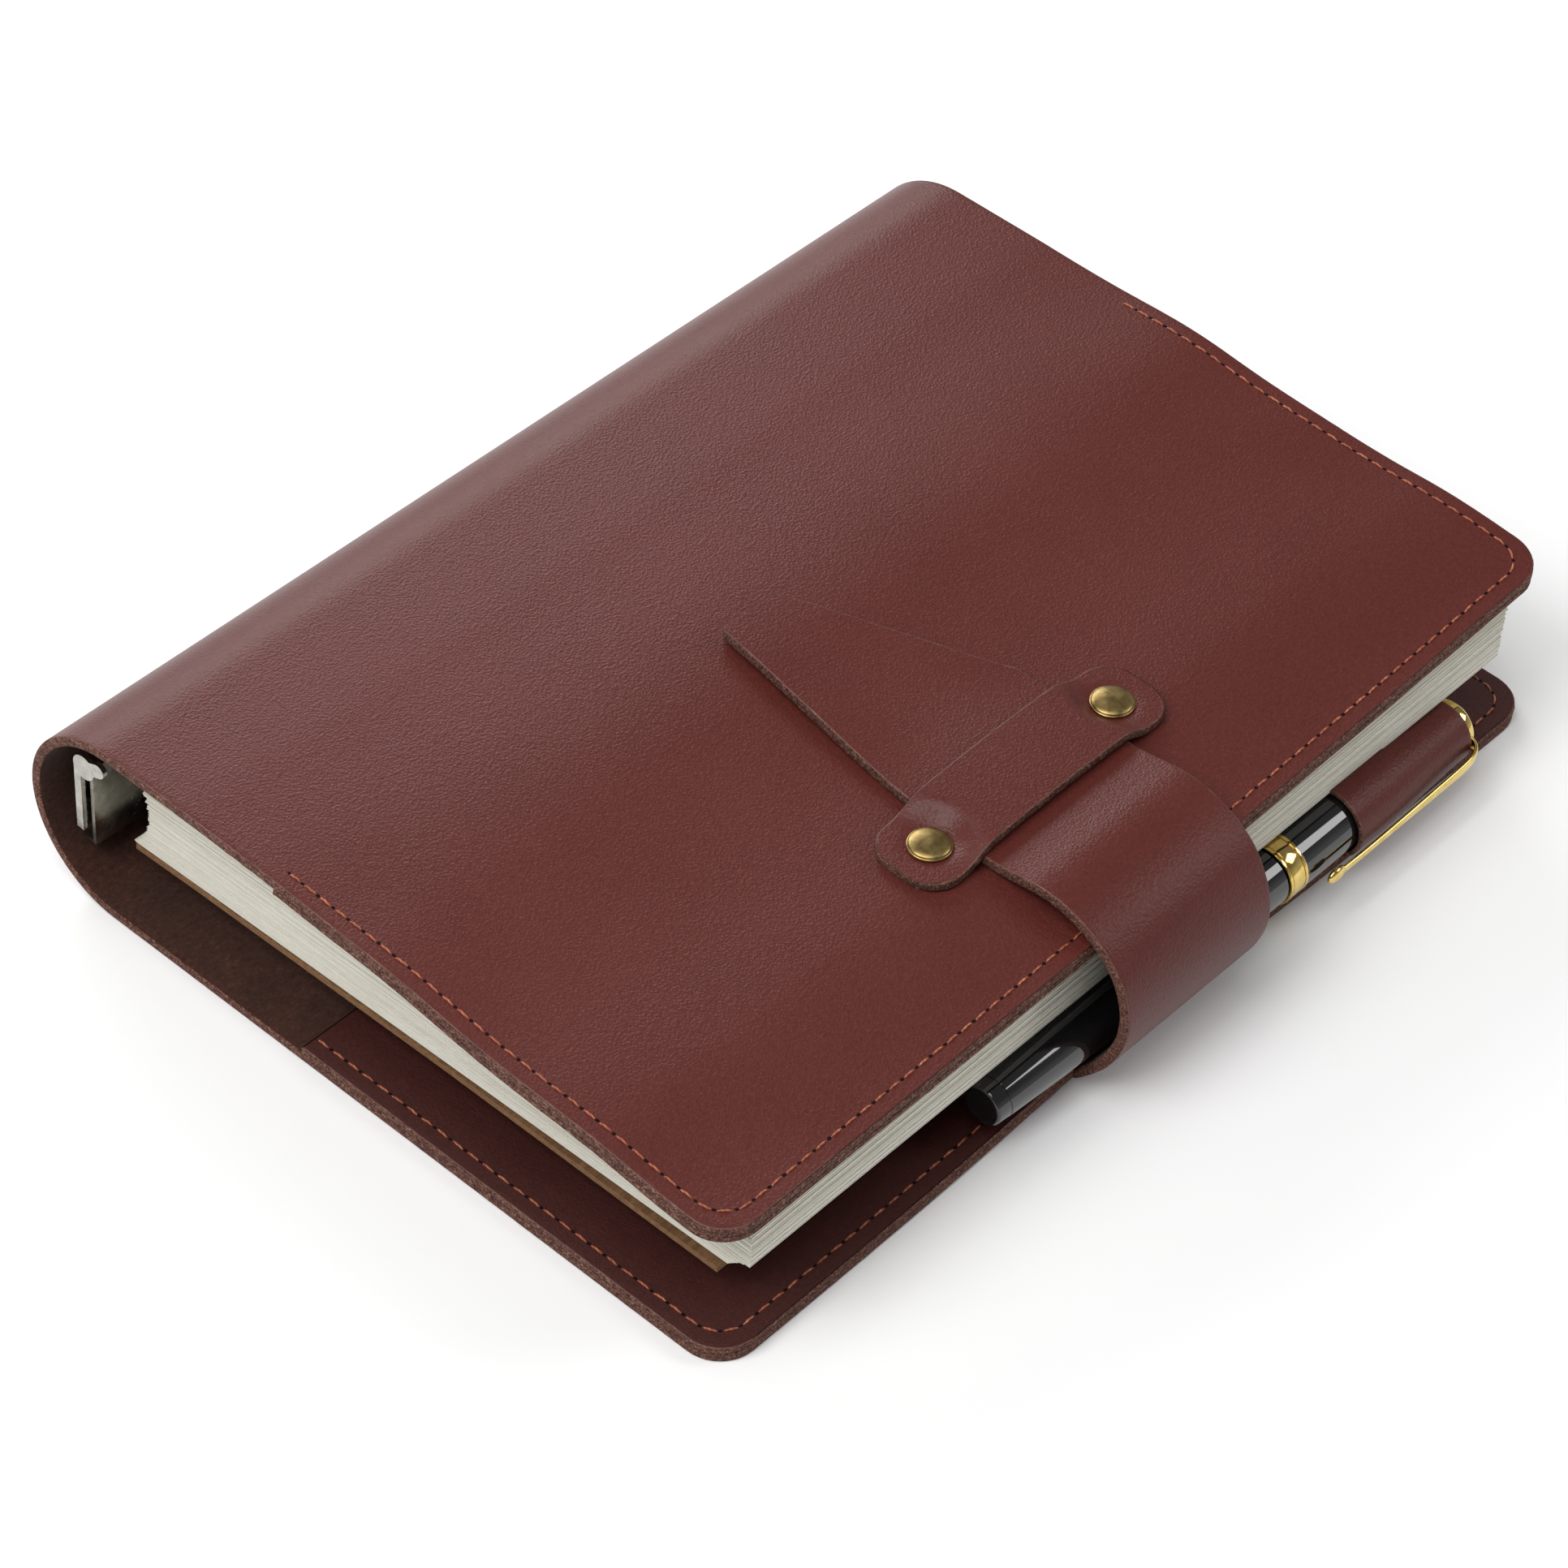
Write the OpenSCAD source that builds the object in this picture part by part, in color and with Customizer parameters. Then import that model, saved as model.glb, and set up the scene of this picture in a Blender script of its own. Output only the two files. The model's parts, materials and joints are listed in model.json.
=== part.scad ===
// Leather ring-binder cover with its leaves, a strap closure, a pen loop and a capped pen.
// Millimetres. Closed and lying flat: the origin is at the bottom centre of the box round it,
// +Y runs along the spine, +X points from the spine to the strap, and +Z is up.

/* [Cover] */
// Length of the cover along the spine
cover_h = 230; // [228:1:250]
// Overall width, from the outside of the spine to the outside of the strap
overall_w = 180; // [180:1:184]
// Thickness of the cover leather
leather_t = 2; // [1.9:0.1:2.3]
// Thickness of the pocket leather
pocket_t = 1.4; // [1.2:0.1:1.8]
// Outside radius of the rounded spine
spine_r = 20.6; // [20.4:0.1:21]
// Radius of the cover's four fore-edge corners
corner_r = 8; // [4:1:12]
// Height of the front cover's outside face at its fore-edge
fore_z = 35.2; // [35:0.1:35.6]
// Left edge of the pocket inside the front cover
front_pocket_x = -27; // [-40:1:0]
// Left edge of the pocket inside the back cover
back_pocket_x = -20.5; // [-40:1:0]

/* [Leaves] */
// Length of the leaves along the spine
leaf_h = 210; // [200:1:214]
// Height of the lowest leaf at its inner edge
leaf_z0 = 9.4; // [9.3:0.1:9.6]
// Height of the lowest leaf at its fore-edge
leaf_z1 = 14.6; // [14.5:0.1:14.7]
// Thickness of the lower half of the leaves
lower_leaves_t = 8; // [6:0.1:8]
// Thickness of the upper half of the leaves
upper_leaves_t = 8; // [6:0.1:8]
// Thickness of the kraft divider under the leaves
divider_t = 0.8; // [0.5:0.1:0.9]

/* [Rings] */
// Radius of the rings, to the middle of the wire
ring_r = 11.5; // [11.3:0.1:11.5]
// Radius of the ring wire
wire_r = 1.25; // [1:0.05:1.3]
// Distance between neighbouring rings in a group of three
ring_pitch = 19; // [19:1:19]
// Distance from the middle of the cover to the first ring of each group
first_ring_y = 35; // [35:1:35]
// Length of the ring plate
plate_len = 221; // [218:1:222]
// Height of the ring plate's face
plate_w = 19; // [18.6:0.1:19.4]

/* [Strap] */
// Width of the closing strap
strap_w = 40; // [34:1:40]
// Thickness of the strap leather
strap_t = 1.8; // [1.6:0.1:1.8]
// Middle of the strap along the spine
strap_y = -2; // [-6:1:2]
// Left end of the strap's tongue
tongue_x = -14; // [-14:1:0]
// Width of the keeper band across the tongue
keeper_w = 17.6; // [16:0.1:18]
// Length of the keeper band
keeper_len = 67; // [66:1:70]
// Distance between the two keeper rivets
rivet_gap = 50.2; // [50.1:0.1:51]
// Radius of the rivet caps
rivet_r = 4.2; // [3.8:0.1:4.2]

/* [Pen] */
// Radius of the pen's cap
cap_r = 6.2; // [5.8:0.1:6.2]
// Position of the pen's tail end along the spine
pen_tail_y = -46.3; // [-50:0.1:-40]
// Length of the closed pen
pen_len = 138.8; // [136:0.1:142]
// Length of the pen loop
loop_len = 35; // [28:1:36]

/* [Hidden] */
$fn = 64;
RINGS = [for (side = [-1, 1], step = [0:2]) side * (first_ring_y + ring_pitch * step)];
UPPER_RINGS = [for (i = [1:len(RINGS)]) str("upper_ring_", i)];
LOWER_RINGS = [for (i = [1:len(RINGS)]) str("lower_ring_", i)];

eps = 0.01;                              // overshoot of a cut past a face
clear = 0.3;                             // gap between pieces that move past each other
recess_gap = 0.2;                        // gap round a piece that is let into leather or sheet
post_gap = 0.05;                         // gap round a rivet's post in its punched hole
spigot_gap = 0.02;                       // gap round a spigot in its bore
arc_steps = 24;                          // straight runs in one drawn arc

// Cover
left_x = -overall_w / 2;
right_x = overall_w / 2;
spine_c = [left_x + spine_r, spine_r];   // middle of the rounded spine, as [x, z]
back_edge_x = right_x - 9.4;             // fore-edge of the back cover
front_edge_x = right_x - 10.4;           // fore-edge of the front cover
crest_end_x = -50;                       // the front cover starts to fall here
fall_end_x = 37;                         // and is level again from here on
hinge_a = 165;                           // where the spine stops and the front cover starts
hinge_gap_a = 0.85;                      // angle of the slit between them
outline_depth = 4 * spine_r;             // depth of the prisms that trim an outline

// Rings
ring_c = [left_x + 23.8, 18.6];          // middle of the rings, as [x, z]
leg_a = 158;                             // each half ring turns into its leg at this angle
tip_a = 0.5;                             // each half ring stops this far short of level
plate_x = left_x + 11.6;                 // front face of the ring plate
plate_t = 0.8;
lip_depth = 2.8;                         // how far the plate's lips reach back
blade_x = left_x + 7.2;                  // middle of the blades, and of their pivots
blade_t = 0.8;
blade_w = 7.9;
pivot_dz = 8;                            // from the middle of the rings to a blade's pivot
blade_len = 212;
leg_z = ring_r * sin(leg_a);
leg_x = ring_r * cos(leg_a);
leg_slot = [2.8, 6.8];                   // lowest and highest edge of a leg's slot
leg_slot_w = 3.2;
plate_rivet_y = 95;
plate_rivet_r = 1.8;
collar_r = 2.6;
blade_hole_r = 3.4;
rivet_head_r = 4.2;
rivet_head_t = 1;
rivet_head_x = left_x + 0.1;             // the heads lie just below the spine's surface
collar_x = left_x + leather_t + 0.7;     // the collars bear on the spine's inside face
rivet_end_x = plate_x + 0.6;             // the peened ends stand this far over the plate

// Leaves
leaf_edge_x = right_x - 19;              // fore-edge of the lowest leaf, beside the pen
fanned_edge_x = right_x - 13.2;          // fore-edge of the leaves that lie above the pen
leaf_fan = [[73.2, 17.9], [76.3, 19.7]]; // the lower half's fore-edge leans out over the pen
lower_leaf_x = [-74.5, -71.4];           // inner edge of the lower half, at its bottom and top
upper_leaf_x = -71;                      // inner edge of the upper half
divider_x = [-73.5, right_x - 21.5];
leaf_slot_x = [-60, -54];                // centres of a ring slot's two round ends
leaf_slot_w = 6;
leaf_slope = (leaf_z1 - leaf_z0) / (leaf_edge_x - lower_leaf_x[0]);

// Levers
lever_t = 1;
lever_x = [plate_x - 3.2, plate_x - 1.5];
lever_z = [13, 24.5];
lever_foot_len = 4;
lever_foot_t = 1.2;
lever_gap = 0.5;                         // from the end of the ring plate to the lever
thumb_c = [plate_x - 0.6, 29.4];         // middle of the round thumb tab, as [x, z]
thumb_r = 2.7;
thumb_tip = [plate_x + 3.2, 31];
thumb_tip_r = 1.5;

// Strap and keeper
strap_bend_r = 19.6;                     // outside radius of the bend over the front cover
strap_bend_c = [right_x - strap_bend_r, 21.3];
strap_bend_a = 110;                      // the bend starts at this angle
strap_flat_x = 57;                       // the tongue lies flat up to here
strap_foot_r = 9.1;                      // outside radius of the turn under the back cover
strap_foot_c = [right_x - strap_foot_r, strap_foot_r];
strap_split_z = 16;                      // the strap swings from this height
tab_x = 46;                              // inner end of the tab under the back cover
tab_t = 1;
tongue_near = [38, -20];                 // where the tongue's straight taper ends, [x, y - strap_y]
tongue_tip_y = [-13.8, 1.3];             // corners of the tongue's end
tongue_far = [17.4, 12.4];
tongue_shoulder = [33, 20];
keeper_x = 46.9;
keeper_t = 2.2;
keeper_lift = 2.6;                       // how far the keeper arches over the strap
keeper_flat = [22, 20.4];                // from strap_y to the foot and the top of each rise
keeper_corner_r = 6;
keeper_seat_r = rivet_r + recess_gap / 2;
rivet_post_r = 1.5;
burr_r = 3.2;
burr_t = 0.6;
rivet_rim_t = 0.5;                       // height of a cap's straight rim, and of the dome on it
rivet_dome_h = 0.8;

// Pen and loop
pen_x = right_x - 12;
pen_z = 11.5;
loop_y = [53, 53 + loop_len];
loop_t = 1;
loop_in_r = cap_r + 0.25;
loop_out_r = loop_in_r + loop_t;
loop_flange_x = 58;
loop_upper_x = 73;
loop_layer_t = 1.2;                      // thickness of each of the flange's two layers
band_y = pen_tail_y + 79.8;              // mouth of the cap
barrel_mouth_y = band_y - 0.2;
band_len = 5;
band_in_r = 5.9;
band_r = cap_r + 0.1;
cap_top_r = 5.5;
cap_top_y = pen_tail_y + pen_len - 4;
cap_bore_r = 5;
finial_r = 5.1;
barrel_r = 5.9;
barrel_end_r = 4.25;
barrel_taper_y = 0;                      // the barrel is straight from its mouth to here
barrel_bore_r = 4.4;
barrel_bore_y = -26;
plug_len = 3.3;
plug_spigot_r = 2.4;
grip_r = 4.6;
grip_end_r = 3.6;
grip_len = 27;
nib_len = 18;
nib_r = 2.9;
cartridge_r = 3.4;
cartridge_y = [-22, 27.2];
cartridge_tip_r = 1.5;
clip_x = right_x - 3.2;                  // middle of the clip's outer run
clip_t = 1;
clip_w = 2.6;
clip_ball_r = 1.3;
clip_ball = [right_x - 2.9, 44, 10.5];

leather = [0.40, 0.20, 0.18];
pocket_leather = [0.36, 0.17, 0.15];
paper = [0.90, 0.88, 0.83];
kraft = [0.50, 0.35, 0.17];
nickel = [0.72, 0.72, 0.70];
antique_brass = [0.62, 0.50, 0.25];
gold = [0.88, 0.70, 0.28];
black = [0.05, 0.05, 0.06];
white = [0.92, 0.92, 0.92];

function arc_points(centre, r, a0, a1) =
    [for (i = [0:arc_steps]) let (a = a0 + (a1 - a0) * i / arc_steps)
        [centre[0] + r * cos(a), centre[1] + r * sin(a)]];

function steps(from, to, count) = [for (i = [0:count]) from + (to - from) * i / count];

function reversed(points) = [for (i = [len(points) - 1:-1:0]) points[i]];

// Height of the front cover's outside face: the crest, a smooth fall, then level to the fore-edge
function front_z(x) =
    let (u = min(1, max(0, (x - crest_end_x) / (fall_end_x - crest_end_x))))
    fore_z + (2 * spine_r - fore_z) * (0.5 + 0.5 * cos(180 * u));

function leaf_z(x) = leaf_z0 + leaf_slope * (x - lower_leaf_x[0]);

// Radius of the pen's barrel, y from the pen's tail
function barrel_radius(y) =
    let (u = max(0, (barrel_taper_y - y) / (barrel_taper_y - pen_tail_y)))
    barrel_r - (barrel_r - barrel_end_r) * pow(u, 1.6);

// Extrudes an outline drawn in X and Z along Y, centred on y
module along_y(length, y = 0) {
    translate([0, y + length / 2, 0]) rotate([90, 0, 0]) linear_extrude(length) children();
}

// Turns an outline drawn as [radius, y] round the pen's axis
module round_pen() {
    translate([pen_x, 0, pen_z]) rotate([-90, 0, 0]) rotate_extrude() children();
}

// Plan view of a cover panel: square at the spine, rounded at the fore-edge
module panel_outline(edge_x) {
    from_x = left_x - 10;
    inner_h = cover_h - 2 * corner_r;
    linear_extrude(outline_depth) {
        translate([from_x, -cover_h / 2]) square([edge_x - corner_r - from_x, cover_h]);
        translate([from_x, -inner_h / 2]) square([edge_x - from_x, inner_h]);
        for (side = [-1, 1]) translate([edge_x - corner_r, side * inner_h / 2]) circle(corner_r);
    }
}

// Round hole or post along X at the height of the ring plate's rivets
module plate_rivet_cylinders(r, x0, x1) {
    for (side = [-1, 1])
        translate([x0, side * plate_rivet_y, ring_c[1]]) rotate([0, 90, 0]) cylinder(r = r, h = x1 - x0);
}

module keeper_rivet_cylinders(r, z0, z1) {
    for (side = [-1, 1])
        translate([keeper_x, strap_y + side * rivet_gap / 2, z0]) cylinder(r = r, h = z1 - z0);
}

// One leather panel: the back, its rounded spine, and the recess for the strap's tab
module back_cover() {
    outer = arc_points(spine_c, spine_r, hinge_a, 270);
    inner = arc_points(spine_c, spine_r - leather_t, 270, hinge_a);
    head_seat_x = rivet_head_x + rivet_head_t;
    color(leather) difference() {
        intersection() {
            along_y(cover_h) polygon(concat(outer, [[back_edge_x, 0], [back_edge_x, leather_t]], inner));
            panel_outline(back_edge_x);
        }
        translate([tab_x - recess_gap, strap_y - strap_w / 2 - recess_gap, -eps])
            cube([overall_w, strap_w + 2 * recess_gap, tab_t + eps]);
        plate_rivet_cylinders(plate_rivet_r + recess_gap / 2, left_x - outline_depth, plate_x);
        plate_rivet_cylinders(rivet_head_r + recess_gap, left_x - outline_depth, head_seat_x);
    }
}

module back_pocket() {
    color(pocket_leather) intersection() {
        translate([back_pocket_x, -cover_h / 2, leather_t])
            cube([back_edge_x - back_pocket_x, cover_h, pocket_t]);
        panel_outline(back_edge_x);
    }
}

module front_cover() {
    falling = steps(crest_end_x, fall_end_x, arc_steps);
    outer = concat(
        arc_points(spine_c, spine_r, hinge_a - hinge_gap_a, 90),
        [for (x = falling) [x, front_z(x)]],
        [[front_edge_x, fore_z]]);
    inner = concat(
        arc_points(spine_c, spine_r - leather_t, hinge_a - hinge_gap_a, 90),
        [for (x = falling) [x, front_z(x) - leather_t]],
        [[front_edge_x, fore_z - leather_t]]);
    color(leather) difference() {
        intersection() {
            along_y(cover_h) polygon(concat(outer, reversed(inner)));
            panel_outline(front_edge_x);
        }
        keeper_rivet_cylinders(rivet_post_r + post_gap, 0, 2 * fore_z);
    }
}

// The pocket under the front cover, with shallow seats for the rivets' burrs
module front_pocket() {
    falling = steps(front_pocket_x, fall_end_x, arc_steps);
    top = concat([for (x = falling) [x, front_z(x) - leather_t]],
        [[front_edge_x, fore_z - leather_t]]);
    bottom = [for (p = top) [p[0], p[1] - pocket_t]];
    color(pocket_leather) difference() {
        intersection() {
            along_y(cover_h) polygon(concat(top, reversed(bottom)));
            panel_outline(front_edge_x);
        }
        keeper_rivet_cylinders(burr_r + recess_gap, fore_z - leather_t - burr_t - post_gap, fore_z);
    }
}

// A band with round corners that arches over the strap
module keeper() {
    flat = keeper_flat[0];
    rise = keeper_flat[1];
    half = keeper_len / 2;
    low = fore_z;
    high = fore_z + keeper_lift;
    bottom = [[-half, low], [-flat, low], [-rise, high], [rise, high], [flat, low], [half, low]];
    top = [for (p = bottom) [p[0], p[1] + keeper_t]];
    straight = [keeper_w - 2 * keeper_corner_r, keeper_len - 2 * keeper_corner_r];
    color(leather) difference() {
        intersection() {
            translate([keeper_x - keeper_w / 2, strap_y, 0]) rotate([90, 0, 90])
                linear_extrude(keeper_w) polygon(concat(bottom, reversed(top)));
            translate([keeper_x, strap_y, 0]) linear_extrude(outline_depth) {
                square([keeper_w, straight[1]], center = true);
                square([straight[0], keeper_len], center = true);
                for (sx = [-1, 1], sy = [-1, 1])
                    translate([sx * straight[0] / 2, sy * straight[1] / 2]) circle(keeper_corner_r);
            }
        }
        keeper_rivet_cylinders(rivet_post_r + post_gap, 0, 2 * fore_z);
        keeper_rivet_cylinders(keeper_seat_r, fore_z + keeper_t, 2 * fore_z);
    }
}

// Two domed rivets, each with its post and the burr that it is set over
module keeper_rivets() {
    seat_z = fore_z + keeper_t;
    rim = rivet_rim_t;
    dome = rivet_dome_h;
    dome_r = (rivet_r * rivet_r + dome * dome) / (2 * dome);
    burr_z = fore_z - leather_t - burr_t;
    color(antique_brass) {
        keeper_rivet_cylinders(rivet_post_r, burr_z, seat_z + rim);
        keeper_rivet_cylinders(burr_r, burr_z, fore_z - leather_t);
        keeper_rivet_cylinders(rivet_r, seat_z, seat_z + rim);
        for (side = [-1, 1]) intersection() {
            translate([keeper_x, strap_y + side * rivet_gap / 2, seat_z + rim + dome - dome_r])
                sphere(dome_r);
            translate([keeper_x, strap_y + side * rivet_gap / 2, seat_z + rim - eps])
                cylinder(r = rivet_r, h = 2 * dome);
        }
    }
}

module strap() {
    tongue = concat(steps(tongue_x, fall_end_x, arc_steps), [strap_flat_x]);
    end_z = strap_split_z + clear / 2;
    outer = concat(
        [for (x = tongue) [x, front_z(x) + clear + strap_t]],
        arc_points(strap_bend_c, strap_bend_r, strap_bend_a, 0),
        [[right_x, end_z]]);
    inner = concat(
        [for (x = tongue) [x, front_z(x) + clear]],
        arc_points(strap_bend_c, strap_bend_r - strap_t, strap_bend_a, 0),
        [[right_x - strap_t, end_z]]);
    half = strap_w / 2;
    plan = [[2 * right_x, -half], tongue_near, [tongue_x, tongue_tip_y[0]], [tongue_x, tongue_tip_y[1]],
        tongue_far, tongue_shoulder, [2 * right_x, half]];
    color(leather) intersection() {
        along_y(strap_w, strap_y) polygon(concat(outer, reversed(inner)));
        translate([0, strap_y, 0]) linear_extrude(outline_depth) polygon(plan);
    }
}

// The foot of the strap: the turn under the fore-edge and the thinned tab under the back cover
module strap_base() {
    end_z = strap_split_z - clear / 2;
    bend_x = strap_foot_c[0];
    outer = concat([[right_x, end_z]], arc_points(strap_foot_c, strap_foot_r, 0, -90));
    tab = [[tab_x, 0], [tab_x, tab_t], [bend_x, tab_t]];
    inner = concat(arc_points(strap_foot_c, strap_foot_r - strap_t, -90, 0), [[right_x - strap_t, end_z]]);
    color(leather) along_y(strap_w, strap_y) polygon(concat(outer, tab, inner));
}

// A tube for the pen, sewn shut on a two-layer flange
module pen_loop() {
    flange_z = leather_t + pocket_t;
    color(leather) difference() {
        union() {
            translate([pen_x, loop_y[1], pen_z]) rotate([90, 0, 0]) cylinder(r = loop_out_r, h = loop_len);
            translate([loop_flange_x, loop_y[0], flange_z]) cube([pen_x - loop_flange_x, loop_len, loop_layer_t]);
            translate([loop_flange_x, loop_y[0], flange_z + loop_layer_t])
                cube([loop_upper_x - loop_flange_x, loop_len, loop_layer_t]);
        }
        translate([pen_x, loop_y[1] + 1, pen_z]) rotate([90, 0, 0])
            cylinder(r = loop_in_r, h = loop_len + 2);
    }
}

// Slots for the rings through leaves that lie between two heights
module leaf_slots() {
    for (y = RINGS) translate([0, y, 0]) {
        for (x = leaf_slot_x) translate([x, 0, 0]) cylinder(d = leaf_slot_w, h = outline_depth);
        translate([leaf_slot_x[0], -leaf_slot_w / 2, 0])
            cube([leaf_slot_x[1] - leaf_slot_x[0], leaf_slot_w, outline_depth]);
    }
}

// Room for the rings' lower arcs past the inner edge of the lowest leaves
module ring_notches() {
    for (y = RINGS) translate([ring_c[0], y + leaf_slot_w / 2, ring_c[1]]) rotate([90, 0, 0]) difference() {
        cylinder(r = ring_r + wire_r + clear, h = leaf_slot_w);
        translate([0, 0, -1]) cylinder(r = ring_r - wire_r - clear, h = leaf_slot_w + 2);
    }
}

module lower_leaves() {
    top = lower_leaves_t;
    outline = concat([[lower_leaf_x[0], leaf_z(lower_leaf_x[0])], [leaf_edge_x, leaf_z(leaf_edge_x)]],
        leaf_fan,
        [[fanned_edge_x, leaf_z(leaf_edge_x) + top], [leaf_edge_x, leaf_z(leaf_edge_x) + top],
         [lower_leaf_x[1], leaf_z(lower_leaf_x[1]) + top]]);
    color(paper) difference() {
        along_y(leaf_h) polygon(outline);
        leaf_slots();
        ring_notches();
    }
}

module upper_leaves() {
    bottom = lower_leaves_t + clear;
    top = bottom + upper_leaves_t;
    fore = [for (x = [leaf_edge_x, fanned_edge_x]) [x, leaf_z(leaf_edge_x)]];
    outline = concat([[upper_leaf_x, leaf_z(upper_leaf_x) + bottom]],
        [for (p = fore) [p[0], p[1] + bottom]], [for (p = reversed(fore)) [p[0], p[1] + top]],
        [[upper_leaf_x, leaf_z(upper_leaf_x) + top]]);
    color(paper) difference() {
        along_y(leaf_h) polygon(outline);
        leaf_slots();
    }
}

module back_divider() {
    top = [for (x = divider_x) [x, leaf_z(x)]];
    bottom = [for (p = top) [p[0], p[1] - divider_t]];
    color(kraft) difference() {
        along_y(leaf_h) polygon(concat(top, reversed(bottom)));
        leaf_slots();
        ring_notches();
    }
}

// A spring-steel channel with a slot for each ring leg
module ring_plate() {
    back_x = plate_x - plate_t;
    color(nickel) difference() {
        union() {
            translate([back_x, -plate_len / 2, ring_c[1] - plate_w / 2]) cube([plate_t, plate_len, plate_w]);
            for (z = [ring_c[1] - plate_w / 2, ring_c[1] + plate_w / 2 - plate_t])
                translate([back_x - lip_depth, -plate_len / 2, z]) cube([lip_depth + eps, plate_len, plate_t]);
        }
        for (y = RINGS, low = [leg_slot[0], -leg_slot[1]])
            translate([back_x - 1, y - leg_slot_w / 2, ring_c[1] + low])
                cube([plate_t + 2, leg_slot_w, leg_slot[1] - leg_slot[0]]);
        plate_rivet_cylinders(plate_rivet_r + recess_gap / 2, back_x - 1, plate_x + 1);
    }
}

// Two rivets that hold the ring plate to the spine: head, collar, post and peened end
module plate_rivets() {
    back_x = plate_x - plate_t;
    color(nickel) {
        plate_rivet_cylinders(rivet_head_r, rivet_head_x, rivet_head_x + rivet_head_t);
        plate_rivet_cylinders(plate_rivet_r, rivet_head_x, rivet_end_x);
        plate_rivet_cylinders(collar_r, collar_x, back_x);
        plate_rivet_cylinders(collar_r, plate_x, rivet_end_x);
    }
}

// One of the two blades that carry the half rings; side is 1 for the upper and -1 for the lower
module blade(side) {
    edge = ring_c[1] + side * pivot_dz;
    low = side > 0 ? edge - blade_w : edge;
    color(nickel) difference() {
        translate([blade_x - blade_t / 2, -blade_len / 2, low]) cube([blade_t, blade_len, blade_w]);
        plate_rivet_cylinders(blade_hole_r, blade_x - 1, blade_x + 1);
    }
}

// Half a ring with its leg; side is 1 for the upper and -1 for the lower
module half_ring(y, side) {
    leg_from = blade_x + blade_t / 2 - ring_c[0];
    color(nickel) translate([ring_c[0], y, ring_c[1]]) mirror([0, 0, side > 0 ? 0 : 1]) {
        rotate([90, 0, 0]) rotate([0, 0, tip_a]) rotate_extrude(angle = leg_a - tip_a)
            translate([ring_r, 0]) circle(wire_r);
        translate([leg_x, 0, leg_z]) sphere(wire_r + 0.03);
        translate([leg_from, 0, leg_z]) rotate([0, 90, 0]) cylinder(r = wire_r, h = leg_x - leg_from);
    }
}

// A lever at the end of the ring plate; side is -1 at the tail and 1 at the head
module lever(side) {
    end_y = plate_len / 2 + lever_gap;
    reach = thumb_tip - thumb_c;
    color(nickel) mirror([0, side < 0 ? 1 : 0, 0]) {
        translate([lever_x[0], end_y - lever_foot_len, lever_z[0]])
            cube([lever_foot_t, lever_foot_len + lever_t, lever_z[1] - lever_z[0]]);
        translate([0, end_y + lever_t, 0]) rotate([90, 0, 0]) linear_extrude(lever_t) {
            translate([lever_x[0], lever_z[0]])
                square([lever_x[1] - lever_x[0], thumb_c[1] - lever_z[0]]);
            translate(thumb_c) circle(thumb_r);
            translate(thumb_c) rotate(atan2(reach[1], reach[0])) {
                translate([0, -thumb_tip_r]) square([norm(reach), 2 * thumb_tip_r]);
                translate([norm(reach), 0]) circle(thumb_tip_r);
            }
        }
    }
}

module pen_cap() {
    lip_y = band_y + band_len;
    taper_y = lip_y + 16;
    bore_end = cap_top_y - 2;
    color(black) round_pen() polygon([
        [cap_bore_r, band_y], [band_in_r, band_y], [band_in_r, lip_y], [cap_r, lip_y],
        [cap_r, taper_y], [cap_top_r, cap_top_y], [0, cap_top_y], [0, bore_end],
        [cap_top_r - (cap_r - cap_bore_r), bore_end], [cap_bore_r, taper_y]]);
}

// The stepped gold band round the cap's mouth
module cap_band() {
    groove = band_r - 0.25;
    color(gold) round_pen() polygon([
        [band_in_r, band_y], [band_r, band_y], [band_r, band_y + 1], [groove, band_y + 1],
        [groove, band_y + 1.4], [band_r, band_y + 1.4], [band_r, band_y + 3.6], [groove, band_y + 3.6],
        [groove, band_y + 4], [band_r, band_y + 4], [band_r, band_y + band_len],
        [band_in_r, band_y + band_len]]);
}

module cap_finial() {
    end_y = pen_tail_y + pen_len;
    color(gold) round_pen() polygon(concat(
        [[0, cap_top_y], [finial_r, cap_top_y], [finial_r, cap_top_y + 1], [finial_r - 0.4, cap_top_y + 1],
         [finial_r - 0.4, cap_top_y + 1.5], [finial_r, cap_top_y + 1.5]],
        [for (a = steps(0, 90, 6)) [finial_r * cos(a), cap_top_y + 2.2 + (end_y - cap_top_y - 2.2) * sin(a)]]));
}

// The gold clip: a sprung strip from the cap's top to a ball, outside the loop
module pen_clip() {
    root_x = pen_x + finial_r - 0.6;
    root_y = cap_top_y + 1.3;
    half = clip_t / 2;
    path = [[root_x, root_y], [clip_x - 2.4, root_y], [clip_x - 0.6, root_y - 1.3],
        [clip_x, root_y - 4.3], [clip_x, clip_ball[1]]];
    outer = [for (p = path) [p[0] + half, p[1] + half]];
    inner = [for (p = path) [p[0] - half, p[1] - half]];
    color(gold) {
        difference() {
            translate([0, 0, clip_ball[2] - clip_w / 2]) linear_extrude(clip_w)
                polygon(concat(outer, reversed(inner)));
            translate([pen_x, root_y + 5, pen_z]) rotate([90, 0, 0]) cylinder(r = finial_r + 0.02, h = 8);
        }
        translate(clip_ball) sphere(clip_ball_r);
    }
}

module pen_barrel() {
    mouth_y = barrel_mouth_y;
    end_y = pen_tail_y + plug_len;
    wall = [for (y = steps(mouth_y, end_y, 16)) [barrel_radius(y), y]];
    color(black) round_pen() polygon(concat(wall,
        [[plug_spigot_r, end_y], [plug_spigot_r, barrel_bore_y], [barrel_bore_r, barrel_bore_y + 3],
         [barrel_bore_r, mouth_y]]));
}

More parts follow.
